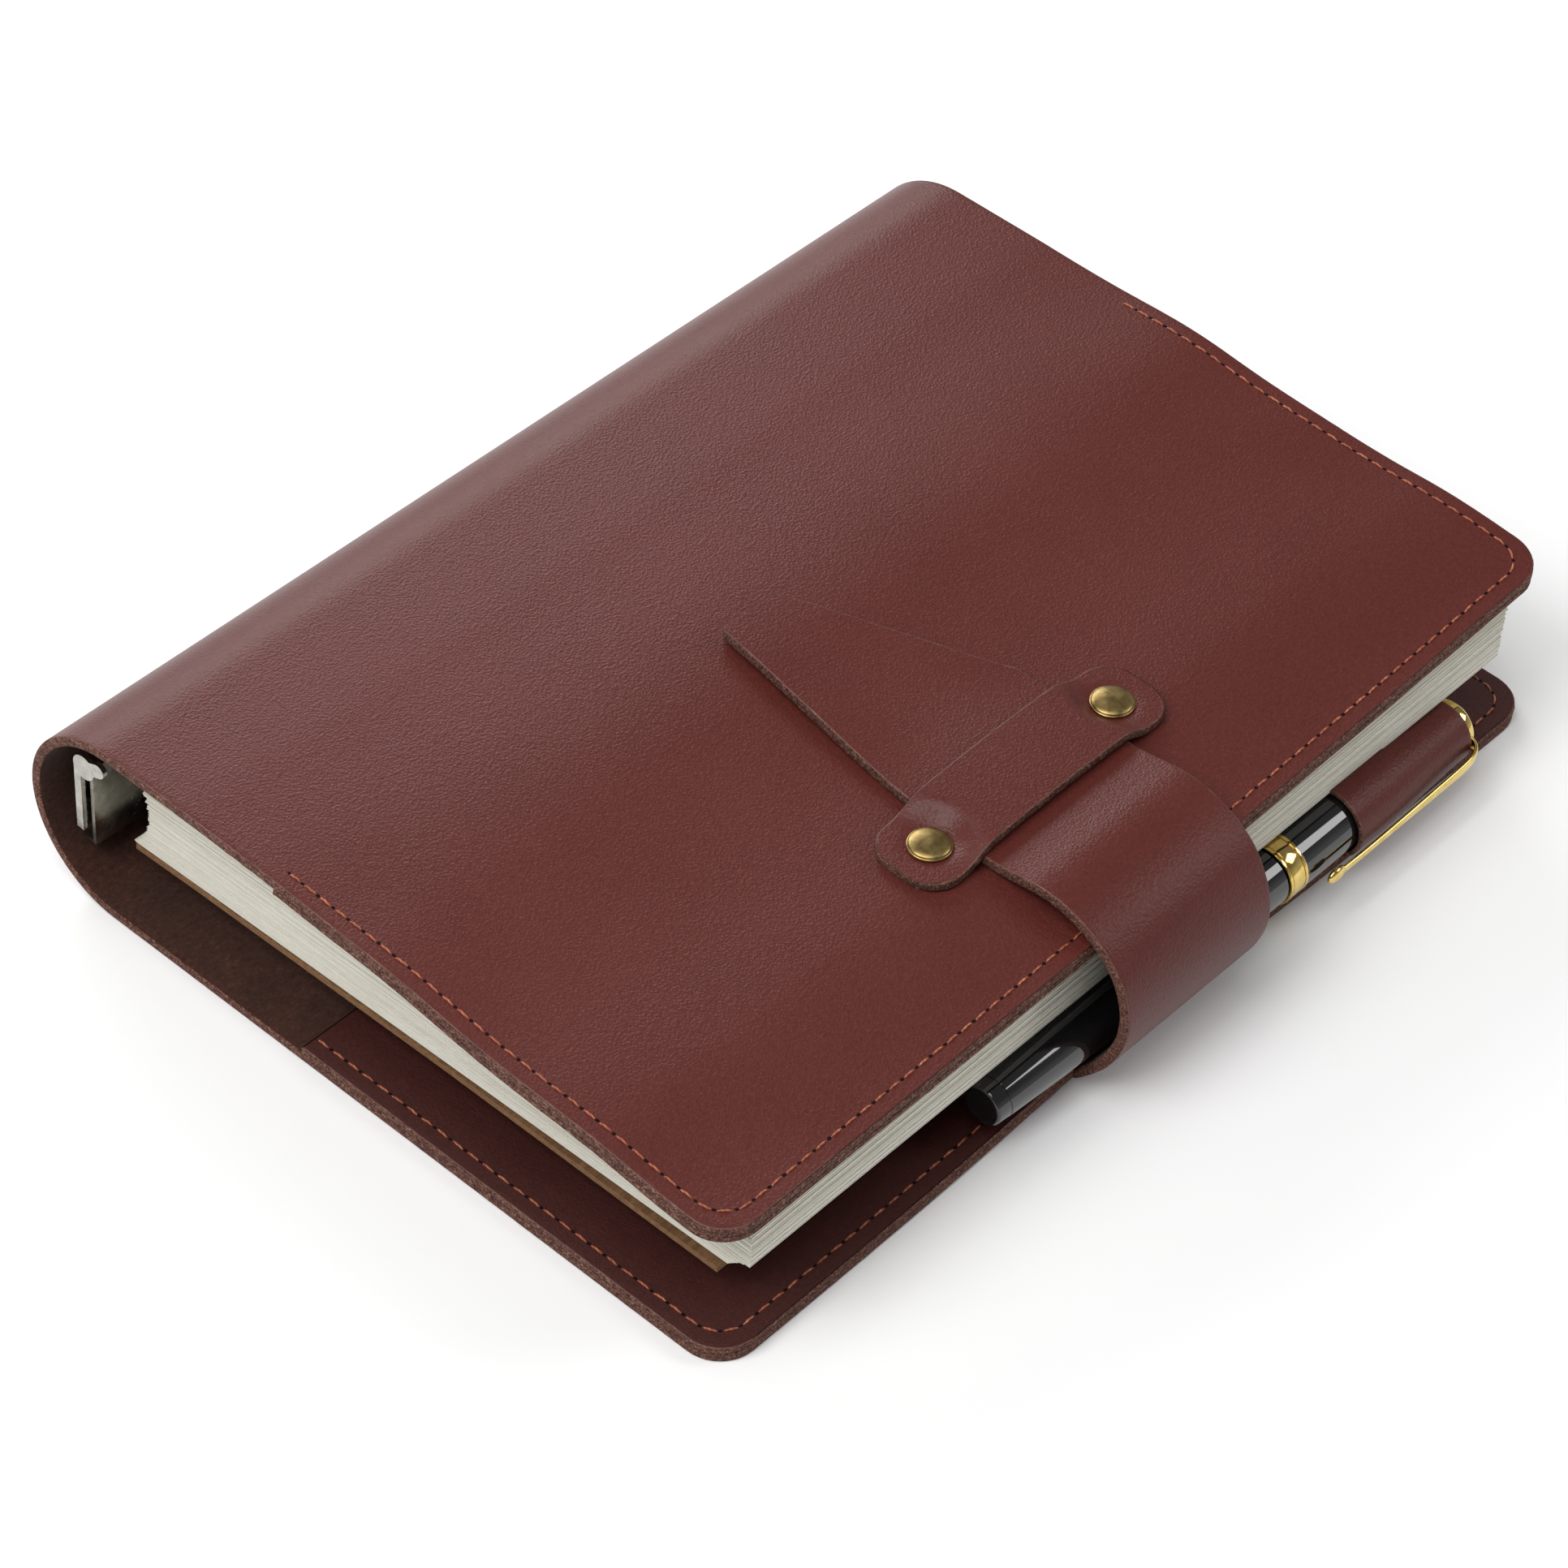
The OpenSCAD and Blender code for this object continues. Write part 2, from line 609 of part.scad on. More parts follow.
// The black end piece, pressed into the barrel's tail
module tail_plug() {
    end_y = pen_tail_y + plug_len;
    r = barrel_end_r;
    spigot_r = plug_spigot_r - spigot_gap;
    color(black) round_pen() polygon([
        [0, pen_tail_y], [r - 0.5, pen_tail_y], [r - 0.1, pen_tail_y + 0.4], [r, end_y - 0.4],
        [r - 0.2, end_y], [spigot_r, end_y], [spigot_r, end_y + 6], [0, end_y + 6]]);
}

module grip_section() {
    mouth_y = barrel_mouth_y;
    end_y = mouth_y + grip_len;
    spigot_r = barrel_bore_r - spigot_gap;
    bore_r = 1.6;
    color(black) round_pen() polygon([
        [bore_r, mouth_y - 6], [spigot_r, mouth_y - 6], [spigot_r, mouth_y], [grip_r, mouth_y],
        [grip_r, mouth_y + 12], [grip_end_r, end_y - 2], [grip_end_r + 0.3, end_y], [bore_r, end_y]]);
}

// A gold nib: a half shell that narrows to a point, on a round tail held in the grip
module pen_nib() {
    from_y = barrel_mouth_y + grip_len;
    color(gold) {
        intersection() {
            round_pen() polygon([[nib_r, from_y], [nib_r, from_y + 6], [0.3, from_y + nib_len],
                [0, from_y + nib_len], [0, from_y + nib_len - 1], [nib_r - 0.7, from_y + 5],
                [nib_r - 0.7, from_y]]);
            translate([pen_x - nib_r, from_y, pen_z]) cube([2 * nib_r, nib_len, nib_r + 1]);
        }
        round_pen() polygon([[0, from_y - 4], [1.58, from_y - 4], [1.58, from_y], [nib_r, from_y],
            [nib_r, from_y + 0.6], [0, from_y + 0.6]]);
    }
}

module ink_cartridge() {
    color(white) round_pen() polygon([[0, cartridge_y[0]], [cartridge_r, cartridge_y[0]],
        [cartridge_r, cartridge_y[1]], [cartridge_tip_r, cartridge_y[1]],
        [cartridge_tip_r, cartridge_y[1] + 4], [0, cartridge_y[1] + 4]]);
}

back_cover();
back_pocket();
pen_loop();
strap_base();
ring_plate();
plate_rivets();
back_divider();
lower_leaves();
upper_leaves();
front_cover();
front_pocket();
keeper();
keeper_rivets();
strap();
blade(1);  // upper_blade
blade(-1);  // lower_blade
lever(-1);  // tail_lever
lever(1);  // head_lever
pen_cap();
cap_band();
cap_finial();
pen_clip();
pen_barrel();
tail_plug();
grip_section();
pen_nib();
ink_cartridge();
for (i = [0:len(RINGS) - 1]) {
    half_ring(RINGS[i], 1);
    half_ring(RINGS[i], -1);
}
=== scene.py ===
"""A closed leather ring-binder notebook cover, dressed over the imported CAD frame.

Lengths in this file are millimetres until mesh_object() turns them into metres. The frame is the
CAD's own: X from the spine to the strap, Y along the spine, Z up, the table at Z 0.
"""

import json
import math
import random

import bpy
import numpy as np
from mathutils import Matrix, Vector, noise


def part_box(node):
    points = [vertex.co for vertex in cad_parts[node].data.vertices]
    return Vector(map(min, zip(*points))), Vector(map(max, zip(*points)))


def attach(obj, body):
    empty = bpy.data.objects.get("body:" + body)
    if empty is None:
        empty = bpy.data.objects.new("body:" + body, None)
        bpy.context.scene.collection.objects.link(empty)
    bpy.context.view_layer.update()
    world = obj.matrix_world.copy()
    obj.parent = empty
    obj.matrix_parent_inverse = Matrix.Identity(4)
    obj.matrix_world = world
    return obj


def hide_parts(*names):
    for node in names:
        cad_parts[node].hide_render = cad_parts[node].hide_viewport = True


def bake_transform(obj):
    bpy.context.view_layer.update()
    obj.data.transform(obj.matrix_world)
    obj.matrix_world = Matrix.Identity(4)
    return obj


MM = 0.001

# Camera, as the object is seen: degrees, millimetres, and the lens on a 36 mm wide sensor
VIEW_AZIMUTH = 39.096
VIEW_ELEVATION = 44.634
VIEW_ROLL = 4.45
VIEW_DISTANCE = 940.98
VIEW_TARGET = (-7.09, -2.68, 0.0)
LENS = 114.92

# Leather thicknesses and edges
STRAP_T = 2.2
KEEPER_T = 1.9
LOOP_T = 0.9
EDGE_BEVEL = 0.30

# Stitching
STITCH_INSET = 3.3
STITCH_PITCH = 3.7
STITCH_LEN = 2.8
THREAD_R = 0.23

# Leaves
SHEET_T = 0.17
SHEETS_PER_HALF = 40
LEAF_MARGIN = 15.2
PEN_CLEARANCE = 6.6
HOLE_R = 2.9

# Metal parts: the rings' wire, and the rivet heads in the CAD
WIRE_R = 1.25
RIVET_R = 4.2

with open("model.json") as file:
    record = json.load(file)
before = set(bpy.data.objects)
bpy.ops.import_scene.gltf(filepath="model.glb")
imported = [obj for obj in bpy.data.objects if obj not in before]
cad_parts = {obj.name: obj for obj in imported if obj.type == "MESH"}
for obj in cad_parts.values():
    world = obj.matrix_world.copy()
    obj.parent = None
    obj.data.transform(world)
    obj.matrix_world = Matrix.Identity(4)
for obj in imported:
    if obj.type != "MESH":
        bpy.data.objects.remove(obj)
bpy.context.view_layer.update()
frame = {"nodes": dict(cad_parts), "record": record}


def box(node):
    """A CAD node's lowest and highest corners in millimetres."""
    low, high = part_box(node)
    return np.array(low) / MM, np.array(high) / MM


def smooth(t):
    """An even S-shaped rise from 0 to 1 as t goes from 0 to 1; t may be an array."""
    t = np.clip(t, 0.0, 1.0)
    return t * t * (3 - 2 * t)


def unit(v):
    return v / max(1e-9, float(np.linalg.norm(v)))


# ---------------------------------------------------------------- dimensions read from the frame

back_low, back_high = box("back_cover")
front_high = box("front_cover")[1]
back_pocket_low, back_pocket_high = box("back_pocket")
front_pocket_low = box("front_pocket")[0]
keeper_low, keeper_high = box("keeper")
rivets_low, rivets_high = box("keeper_rivets")
plate_rivets_low, plate_rivets_high = box("plate_rivets")
strap_low, strap_high = box("strap")
foot_low, foot_high = box("strap_base")
cap_low, cap_high = box("pen_cap")
band_low, band_high = box("cap_band")
finial_low, finial_high = box("cap_finial")
barrel_low, barrel_high = box("pen_barrel")
plug_low, plug_high = box("tail_plug")
loop_low, loop_high = box("pen_loop")
clip_low, clip_high = box("pen_clip")
lower_low, lower_high = box("lower_leaves")
upper_high = box("upper_leaves")[1]
divider_low, divider_high = box("back_divider")
ring_high = box("upper_ring_1")[1]
ring_bottom = box("lower_ring_1")[0]

HALF_H = back_high[1]
CREST_Z = front_high[2]
SPINE_R = CREST_Z / 2
SPINE_X = back_low[0] + SPINE_R
POCKET_T = back_pocket_high[2] - back_pocket_low[2]
COVER_T = back_pocket_low[2]
BACK_EDGE_X = back_high[0]
FRONT_EDGE_X = front_high[0]
CORNER_R = 8.0
FORE_Z = keeper_low[2]
CREST_END_X = -50.0
FALL_END_X = 37.0
STRAP_MID_Y = (strap_low[1] + strap_high[1]) / 2
STRAP_HALF_W = (strap_high[1] - strap_low[1]) / 2
RING_R = (ring_high[2] - ring_bottom[2]) / 2 - WIRE_R
RING_X = ring_high[0] - RING_R - WIRE_R
RING_Z = (ring_high[2] + ring_bottom[2]) / 2
RING_YS = sorted((a[1] + b[1]) / 2 for a, b in (box(f"upper_ring_{i}") for i in range(1, 7)))
KEEPER_SHIFT = (-0.8, 0.6)
KEEPER_X = (keeper_low[0] + keeper_high[0]) / 2 + KEEPER_SHIFT[0]
KEEPER_Y = STRAP_MID_Y + KEEPER_SHIFT[1]
KEEPER_RIVET_HALF = (rivets_high[1] - rivets_low[1]) / 2 - RIVET_R
PEN_X = (barrel_low[0] + barrel_high[0]) / 2
PEN_Z = (barrel_low[2] + barrel_high[2]) / 2


# ---------------------------------------------------------------- node materials


def material(name):
    """A new node material: (material, its node tree, its Principled node, object coordinates)."""
    mat = bpy.data.materials.new(name)
    mat.use_nodes = True
    tree = mat.node_tree
    shader = tree.nodes["Principled BSDF"]
    coords = tree.nodes.new("ShaderNodeTexCoord").outputs["Object"]
    return mat, tree, shader, coords


def stretched(tree, coords, scale):
    mapping = tree.nodes.new("ShaderNodeMapping")
    mapping.inputs["Scale"].default_value = scale
    tree.links.new(coords, mapping.inputs["Vector"])
    return mapping.outputs["Vector"]


def noise_of(tree, coords, scale, detail=3.0, roughness=0.5):
    """Noise whose features are about 1 / scale metres across."""
    node = tree.nodes.new("ShaderNodeTexNoise")
    node.inputs["Scale"].default_value = scale
    node.inputs["Detail"].default_value = detail
    node.inputs["Roughness"].default_value = roughness
    tree.links.new(coords, node.inputs["Vector"])
    return node.outputs["Fac"]


def cells_of(tree, coords, scale, smoothness=0.6):
    node = tree.nodes.new("ShaderNodeTexVoronoi")
    node.feature = "SMOOTH_F1"
    node.inputs["Scale"].default_value = scale
    node.inputs["Smoothness"].default_value = smoothness
    tree.links.new(coords, node.inputs["Vector"])
    return node.outputs["Distance"]


def ramp(tree, fac, stops):
    """A colour ramp; stops are (position, colour) with linear RGB colours."""
    node = tree.nodes.new("ShaderNodeValToRGB")
    while len(node.color_ramp.elements) < len(stops):
        node.color_ramp.elements.new(0.5)
    for element, (position, colour) in zip(node.color_ramp.elements, stops):
        element.position = position
        element.color = (*colour, 1.0)
    tree.links.new(fac, node.inputs["Fac"])
    return node.outputs["Color"]


def spread(tree, fac, low, high):
    """fac, from 0 to 1, stretched to run from low to high."""
    node = tree.nodes.new("ShaderNodeMapRange")
    node.inputs["To Min"].default_value = low
    node.inputs["To Max"].default_value = high
    tree.links.new(fac, node.inputs["Value"])
    return node.outputs["Result"]


def add(tree, a, b, weight=1.0):
    """a plus weight times b."""
    node = tree.nodes.new("ShaderNodeMath")
    node.operation = "MULTIPLY_ADD"
    tree.links.new(b, node.inputs[0])
    node.inputs[1].default_value = weight
    tree.links.new(a, node.inputs[2])
    return node.outputs["Value"]


def bump(tree, shader, height, depth_mm, strength=1.0):
    node = tree.nodes.new("ShaderNodeBump")
    node.inputs["Strength"].default_value = strength
    node.inputs["Distance"].default_value = depth_mm * MM
    tree.links.new(height, node.inputs["Height"])
    tree.links.new(node.outputs["Normal"], shader.inputs["Normal"])


def paint(tree, shader, fac, stops):
    tree.links.new(ramp(tree, fac, stops), shader.inputs["Base Color"])


def gloss(shader, roughness, specular=0.5):
    shader.inputs["Roughness"].default_value = roughness
    shader.inputs["Specular IOR Level"].default_value = specular


def grain_leather(name, dark, light, roughness=(0.30, 0.40)):
    """Smooth dyed leather: faint mottling, pores, and a pebble about half a millimetre across."""
    mat, tree, shader, coords = material(name)
    clouds = noise_of(tree, coords, 28, 4, 0.55)
    speckle = noise_of(tree, coords, 1300, 3, 0.6)
    pebble = cells_of(tree, coords, 1900, 0.4)
    fine = noise_of(tree, coords, 4200, 2, 0.5)
    tone = add(tree, speckle, clouds, 0.35)
    paint(tree, shader, tone, [(0.45, dark), (0.95, light)])
    tree.links.new(spread(tree, add(tree, clouds, pebble, 0.4), *roughness), shader.inputs["Roughness"])
    shader.inputs["Specular IOR Level"].default_value = 0.27
    height = add(tree, pebble, fine, 0.6)
    bump(tree, shader, height, 0.08, 0.9)
    return mat


def cut_edge(name):
    """The raw cut edge: dark packed fibres with paler flecks."""
    mat, tree, shader, coords = material(name)
    fibres = noise_of(tree, coords, 1500, 6, 0.75)
    flecks = cells_of(tree, stretched(tree, coords, (1.0, 1.0, 1.6)), 2600, 0.2)
    tone = add(tree, fibres, flecks, 0.35)
    stops = [
        (0.42, (0.020, 0.007, 0.005)),
        (0.58, (0.065, 0.024, 0.017)),
        (0.72, (0.140, 0.060, 0.042)),
        (0.88, (0.300, 0.170, 0.125)),
    ]
    paint(tree, shader, tone, stops)
    gloss(shader, 0.85, 0.25)
    bump(tree, shader, tone, 0.30)
    return mat


def painted_highlight_rim(name):
    """The corner between the grain side and the cut edge, painted paler: a painted highlight of the sheen on
    its bevel.
    """
    mat, tree, shader, coords = material(name)
    blotches = noise_of(tree, coords, 420, 4, 0.65)
    stops = [(0.40, (0.085, 0.024, 0.019)), (0.62, (0.15, 0.062, 0.050)), (0.80, (0.28, 0.155, 0.125))]
    paint(tree, shader, blotches, stops)
    gloss(shader, 0.6)
    bump(tree, shader, blotches, 0.05)
    return mat


def suede(name):
    """The flesh side of the cover: short brown nap."""
    mat, tree, shader, coords = material(name)
    patches = noise_of(tree, coords, 90, 4, 0.6)
    nap = noise_of(tree, stretched(tree, coords, (1.0, 0.6, 1.0)), 1300, 6, 0.8)
    tone = add(tree, nap, patches, 0.35)
    stops = [(0.45, (0.018, 0.007, 0.005)), (0.75, (0.058, 0.022, 0.014)), (0.95, (0.115, 0.050, 0.033))]
    paint(tree, shader, tone, stops)
    gloss(shader, 0.95, 0.15)
    shader.inputs["Sheen Weight"].default_value = 0.08
    bump(tree, shader, nap, 0.25)
    return mat


def thread_cotton(name):
    """Waxed rust-orange thread, with its twist."""
    mat, tree, shader, coords = material(name)
    twist = tree.nodes.new("ShaderNodeTexWave")
    twist.bands_direction = "DIAGONAL"
    twist.inputs["Scale"].default_value = 480
    twist.inputs["Distortion"].default_value = 1.5
    tree.links.new(coords, twist.inputs["Vector"])
    blotches = noise_of(tree, coords, 260, 3)
    tone = add(tree, blotches, twist.outputs["Fac"], 0.35)
    stops = [(0.35, (0.20, 0.046, 0.021)), (0.75, (0.38, 0.105, 0.044)), (1.0, (0.54, 0.20, 0.10))]
    paint(tree, shader, tone, stops)
    gloss(shader, 0.55)
    bump(tree, shader, twist.outputs["Fac"], 0.08)
    return mat


# Near-black discs at the needle holes between stitches: painted shade inside the holes.
def painted_hole_shade(name):
    mat, tree, shader, coords = material(name)
    tone = noise_of(tree, coords, 2500, 3)
    stops = [(0.3, (0.004, 0.002, 0.002)), (0.8, (0.022, 0.008, 0.006))]
    paint(tree, shader, tone, stops)
    gloss(shader, 0.9, 0.1)
    return mat


def ivory_paper(name):
    mat, tree, shader, coords = material(name)
    layers = noise_of(tree, stretched(tree, coords, (0.05, 0.05, 1.0)), 2600, 2)
    pulp = noise_of(tree, coords, 1800, 3)
    tone = add(tree, layers, pulp, 0.25)
    stops = [(0.35, (0.66, 0.635, 0.55)), (0.62, (0.715, 0.69, 0.61)), (0.9, (0.75, 0.73, 0.66))]
    paint(tree, shader, tone, stops)
    gloss(shader, 0.8, 0.2)
    bump(tree, shader, pulp, 0.02, 0.5)
    return mat


def kraft_board(name):
    mat, tree, shader, coords = material(name)
    fibres = noise_of(tree, stretched(tree, coords, (1.0, 0.25, 3.0)), 900, 5, 0.7)
    stops = [(0.3, (0.115, 0.052, 0.018)), (0.55, (0.21, 0.105, 0.042)), (0.8, (0.33, 0.19, 0.095))]
    paint(tree, shader, fibres, stops)
    gloss(shader, 0.75)
    bump(tree, shader, fibres, 0.04, 0.6)
    return mat


def metal(name, dark, light, roughness, scale=400, depth_mm=0.01):
    """A plated or brushed metal: colour and gloss vary a little over the surface."""
    mat, tree, shader, coords = material(name)
    haze = noise_of(tree, coords, scale, 4, 0.6)
    scuffs = noise_of(tree, stretched(tree, coords, (1.0, 6.0, 1.0)), scale * 4, 3)
    paint(tree, shader, haze, [(0.3, dark), (0.7, light)])
    shader.inputs["Metallic"].default_value = 1.0
    tree.links.new(spread(tree, add(tree, haze, scuffs, 0.3), *roughness), shader.inputs["Roughness"])
    bump(tree, shader, scuffs, depth_mm, 0.4)
    return mat


def black_lacquer(name):
    mat, tree, shader, coords = material(name)
    haze = noise_of(tree, coords, 120, 3)
    stops = [(0.3, (0.006, 0.006, 0.007)), (0.7, (0.011, 0.011, 0.012))]
    paint(tree, shader, haze, stops)
    tree.links.new(spread(tree, haze, 0.04, 0.09), shader.inputs["Roughness"])
    shader.inputs["Specular IOR Level"].default_value = 0.6
    shader.inputs["Coat Weight"].default_value = 0.6
    shader.inputs["Coat Roughness"].default_value = 0.03
    return mat


def plain_plastic(name):
    mat, tree, shader, coords = material(name)
    haze = noise_of(tree, coords, 300, 3)
    stops = [(0.3, (0.62, 0.63, 0.65)), (0.7, (0.72, 0.73, 0.74))]
    paint(tree, shader, haze, stops)
    gloss(shader, 0.35)
    return mat


def pale_floor(name):
    mat, tree, shader, coords = material(name)
    haze = noise_of(tree, coords, 3, 2)
    stops = [(0.3, (0.93, 0.93, 0.93)), (0.7, (0.95, 0.95, 0.95))]
    paint(tree, shader, haze, stops)
    gloss(shader, 0.9, 0.1)
    return mat


COVER = grain_leather("cover_grain", (0.082, 0.0165, 0.0125), (0.116, 0.0245, 0.0190))
# The pockets' grain is a darker copy of the cover leather: painted shade of the inside of the closed cover.
SHADED_POCKET_GRAIN = grain_leather("pocket_grain_painted_shade", (0.042, 0.010, 0.008), (0.062, 0.016, 0.013), (0.46, 0.60))
# Paler rim material: a painted highlight of the sheen along each grain edge.
HIGHLIGHT_RIM = painted_highlight_rim("painted_highlight_rim")
EDGE = cut_edge("cut_edge")
SUEDE = suede("suede")
THREAD = thread_cotton("thread")
HOLE_SHADE = painted_hole_shade("painted_hole_shade")
PAPER = ivory_paper("paper")
KRAFT = kraft_board("kraft")
NICKEL = metal("nickel", (0.32, 0.31, 0.28), (0.56, 0.54, 0.49), (0.18, 0.30))
BRASS = metal("antique_brass", (0.20, 0.135, 0.045), (0.43, 0.31, 0.125), (0.24, 0.42), 500, 0.03)
GOLD = metal("gold", (0.70, 0.49, 0.13), (0.88, 0.68, 0.26), (0.05, 0.11))
LACQUER = black_lacquer("black_lacquer")
PLASTIC = plain_plastic("cartridge_plastic")
SKINS = (COVER, SUEDE, EDGE, HIGHLIGHT_RIM)
SHADED_POCKET_SKINS = (SHADED_POCKET_GRAIN, SUEDE, EDGE, HIGHLIGHT_RIM)


# ---------------------------------------------------------------- mesh helpers


def mesh_object(name, points, faces, materials, picks=None, smooth_faces=True):
    """A mesh object from points in millimetres; picks gives each face's material index."""
    mesh = bpy.data.meshes.new(name)
    mesh.from_pydata((np.asarray(points) * MM).tolist(), [], faces)
    for mat in materials:
        mesh.materials.append(mat)
    if picks is not None:
        mesh.polygons.foreach_set("material_index", picks)
    mesh.polygons.foreach_set("use_smooth", [smooth_faces] * len(mesh.polygons))
    mesh.update()
    obj = bpy.data.objects.new(name, mesh)
    bpy.context.scene.collection.objects.link(obj)
    return obj


class Path:
    """A line in X and Z walked at an even pace, with its outward side on the left."""

    def __init__(self, points, soften=3):
        points = np.array(points, float)
        runs = np.linalg.norm(np.diff(points, axis=0), axis=1)
        marks = np.concatenate([[0.0], np.cumsum(runs)])
        self.length = float(marks[-1])
        self.marks = np.linspace(0, self.length, int(self.length / 0.4) + 2)
        line = np.stack([np.interp(self.marks, marks, points[:, k]) for k in (0, 1)], axis=1)
        for _ in range(soften):
            line[1:-1] = (line[:-2] + 2 * line[1:-1] + line[2:]) / 4
        self.line = line
        along = np.gradient(line, axis=0)
        along /= np.linalg.norm(along, axis=1)[:, None]
        self.normal = np.stack([-along[:, 1], along[:, 0]], axis=1)

    def at(self, u, depth=0.0):
        """The point at distance u along the path, depth below its outward side."""
        x = np.interp(u, self.marks, self.line[:, 0])
        z = np.interp(u, self.marks, self.line[:, 1])
        nx = np.interp(u, self.marks, self.normal[:, 0])
        nz = np.interp(u, self.marks, self.normal[:, 1])
        size = np.hypot(nx, nz)
        return x - depth * nx / size, z - depth * nz / size


def arc(centre, radius, start, end, steps=40):
    angles = np.radians(np.linspace(start, end, steps + 1))
    return [(centre[0] + radius * math.cos(a), centre[1] + radius * math.sin(a)) for a in angles]


def ends_and_steps(length, pitch, corner):
    """Distances along a length, close together over the rounded corner at its ends."""
    head = [corner * (1 - math.sin(math.radians(a))) for a in range(90, -1, -9)]
    tail = [length - t for t in reversed(head)]
    middle = np.linspace(head[-1], tail[0], max(2, int((tail[0] - head[-1]) / pitch)))
    return list(head[:-1]) + list(middle) + list(tail[1:])


def roughened(point, size, seed):
    """A ragged offset in millimetres, the same every time for one point."""
    coarse = noise.noise(Vector(point) * 0.55 + Vector((seed, 0, 0)))
    fine = noise.noise(Vector(point) * 2.1 + Vector((0, seed, 0)))
    return size * (0.6 * coarse + 0.7 * fine)


def slab(name, place, us, span, columns, thickness, skins, ragged=0.24, seed=1.0):
    """A sheet of leather. place(u, v, depth) gives a point of it, span(u) its lowest and highest v.

    Its faces are the grain side, the flesh side, and a cut edge with frayed fibres, whose rim carries a
    painted highlight.
    """
    rows, cols = len(us), columns + 1
    spans = np.array([span(u) for u in us], float)
    vs = spans[:, :1] + (spans[:, 1:] - spans[:, :1]) * np.linspace(0, 1, cols)
    us = np.repeat(np.array(us, float)[:, None], cols, axis=1)
    top = np.stack(np.broadcast_arrays(*place(us, vs, 0.0)), axis=-1)
    bottom = np.stack(np.broadcast_arrays(*place(us, vs, thickness)), axis=-1)
    loop = (
        [(i, 0) for i in range(rows)]
        + [(rows - 1, j) for j in range(1, cols)]
        + [(i, cols - 1) for i in range(rows - 2, -1, -1)]
        + [(0, j) for j in range(cols - 2, 0, -1)]
    )
    count = len(loop)
    rim = np.array([top[i, j] for i, j in loop])
    under = np.array([bottom[i, j] for i, j in loop])
    along = np.roll(rim, -1, axis=0) - np.roll(rim, 1, axis=0)
    out = np.cross(along, rim - under)
    out /= np.maximum(1e-9, np.linalg.norm(out, axis=1))[:, None]
    for k, (i, j) in enumerate(loop):
        top[i, j] = rim[k] - EDGE_BEVEL * out[k]
        bottom[i, j] = under[k] - 0.5 * EDGE_BEVEL * out[k]
    points = [*top.reshape(-1, 3), *bottom.reshape(-1, 3)]
    rings = []
    steps = [(-0.10, 0.03, 0.0), (0.0, 0.14, 0.3), (0.03, 0.36, 1.0), (0.02, 0.62, 1.0), (-0.02, 0.88, 1.0)]
    for outward, share, fray in steps:
        ring = []
        for k in range(count):
            p = rim[k] + (under[k] - rim[k]) * share
            reach = outward + fray * roughened(p, ragged, seed)
            ring.append(len(points))
            points.append(p + out[k] * reach)
        rings.append(ring)

    def at(i, j, layer):
        return layer * rows * cols + i * cols + j

    faces, picks = [], []
    for i in range(rows - 1):
        for j in range(cols - 1):
            faces.append((at(i, j, 0), at(i + 1, j, 0), at(i + 1, j + 1, 0), at(i, j + 1, 0)))
            faces.append((at(i, j, 1), at(i, j + 1, 1), at(i + 1, j + 1, 1), at(i + 1, j, 1)))
            picks += [0, 1]
    bands = [[at(i, j, 0) for i, j in loop], *rings, [at(i, j, 1) for i, j in loop]]
    for level, (upper, lower) in enumerate(zip(bands, bands[1:])):
        for k in range(count):
            n = (k + 1) % count
            faces.append((upper[k], lower[k], lower[n], upper[n]))
            # The first band below the grain side gets the painted highlight of the edge's sheen.
            picks.append(3 if level == 0 else 2)
    return mesh_object(name, points, faces, skins, picks)


def lathe(name, profile, mat, segments=96):
    """A turned piece on the pen's axis; profile is (radius, y)."""
    points, faces = [], []
    for radius, y in profile:
        for s in range(segments):
            a = 2 * math.pi * s / segments
            points.append((PEN_X + radius * math.cos(a), y, PEN_Z + radius * math.sin(a)))
    for k in range(len(profile) - 1):
        for s in range(segments):
            n = (s + 1) % segments
            a, b = k * segments, (k + 1) * segments
            faces.append((a + s, b + s, b + n, a + n))
    for k, order in ((0, 1), (len(profile) - 1, -1)):
        if profile[k][0] > 0:
            faces.append(tuple(range(k * segments, (k + 1) * segments))[::order])
    return mesh_object(name, points, faces, (mat,))


def smooth_by_angle(obj, degrees=35):
    """Splits shading at sharp corners of a piece, and leaves it smooth elsewhere."""
    obj.data.set_sharp_from_angle(angle=math.radians(degrees))
    return obj


# ---------------------------------------------------------------- the shape of the covers


def front_z(x):
    """Height of the front cover's outside: the crest, a smooth fall, then nearly level."""
    u = np.clip((x - CREST_END_X) / (FALL_END_X - CREST_END_X), 0.0, 1.0)
    return FORE_Z + (CREST_Z - FORE_Z) * (0.5 + 0.5 * np.cos(math.pi * u))


def lean(x, y):
    """The closed stack is a little thicker at its head, and more so towards the fore-edge."""
    return 2.2 * (y / HALF_H) * smooth((x + 55) / 130)


def front_lift(x, y):
    """How far the leaves hold the front cover above its even shape: the lean, and a belly."""
    belly = 2.3 * smooth((x + 45) / 45) * (1 - smooth((x - 48) / 32))
    return 0.2 + lean(x, y) + belly


def front_wave(x, y):
    """How far the front cover departs from its even shape: its lift, and a wavy free edge."""
    rim = smooth((np.abs(y) - 78) / 37)
    side = np.where(np.asarray(y) > 0, 1.7, 0.4)
    ripple = 0.34 * np.sin(x / 13.0 + side) + 0.16 * np.sin(x / 6.1 + 2.1 * side)
    fore = smooth((x - 60) / 21)
    long_wave = 0.18 * np.sin(y / 19.0 + 0.6) * fore
    return front_lift(x, y) + (ripple * rim + long_wave) * smooth((x + 60) / 60)


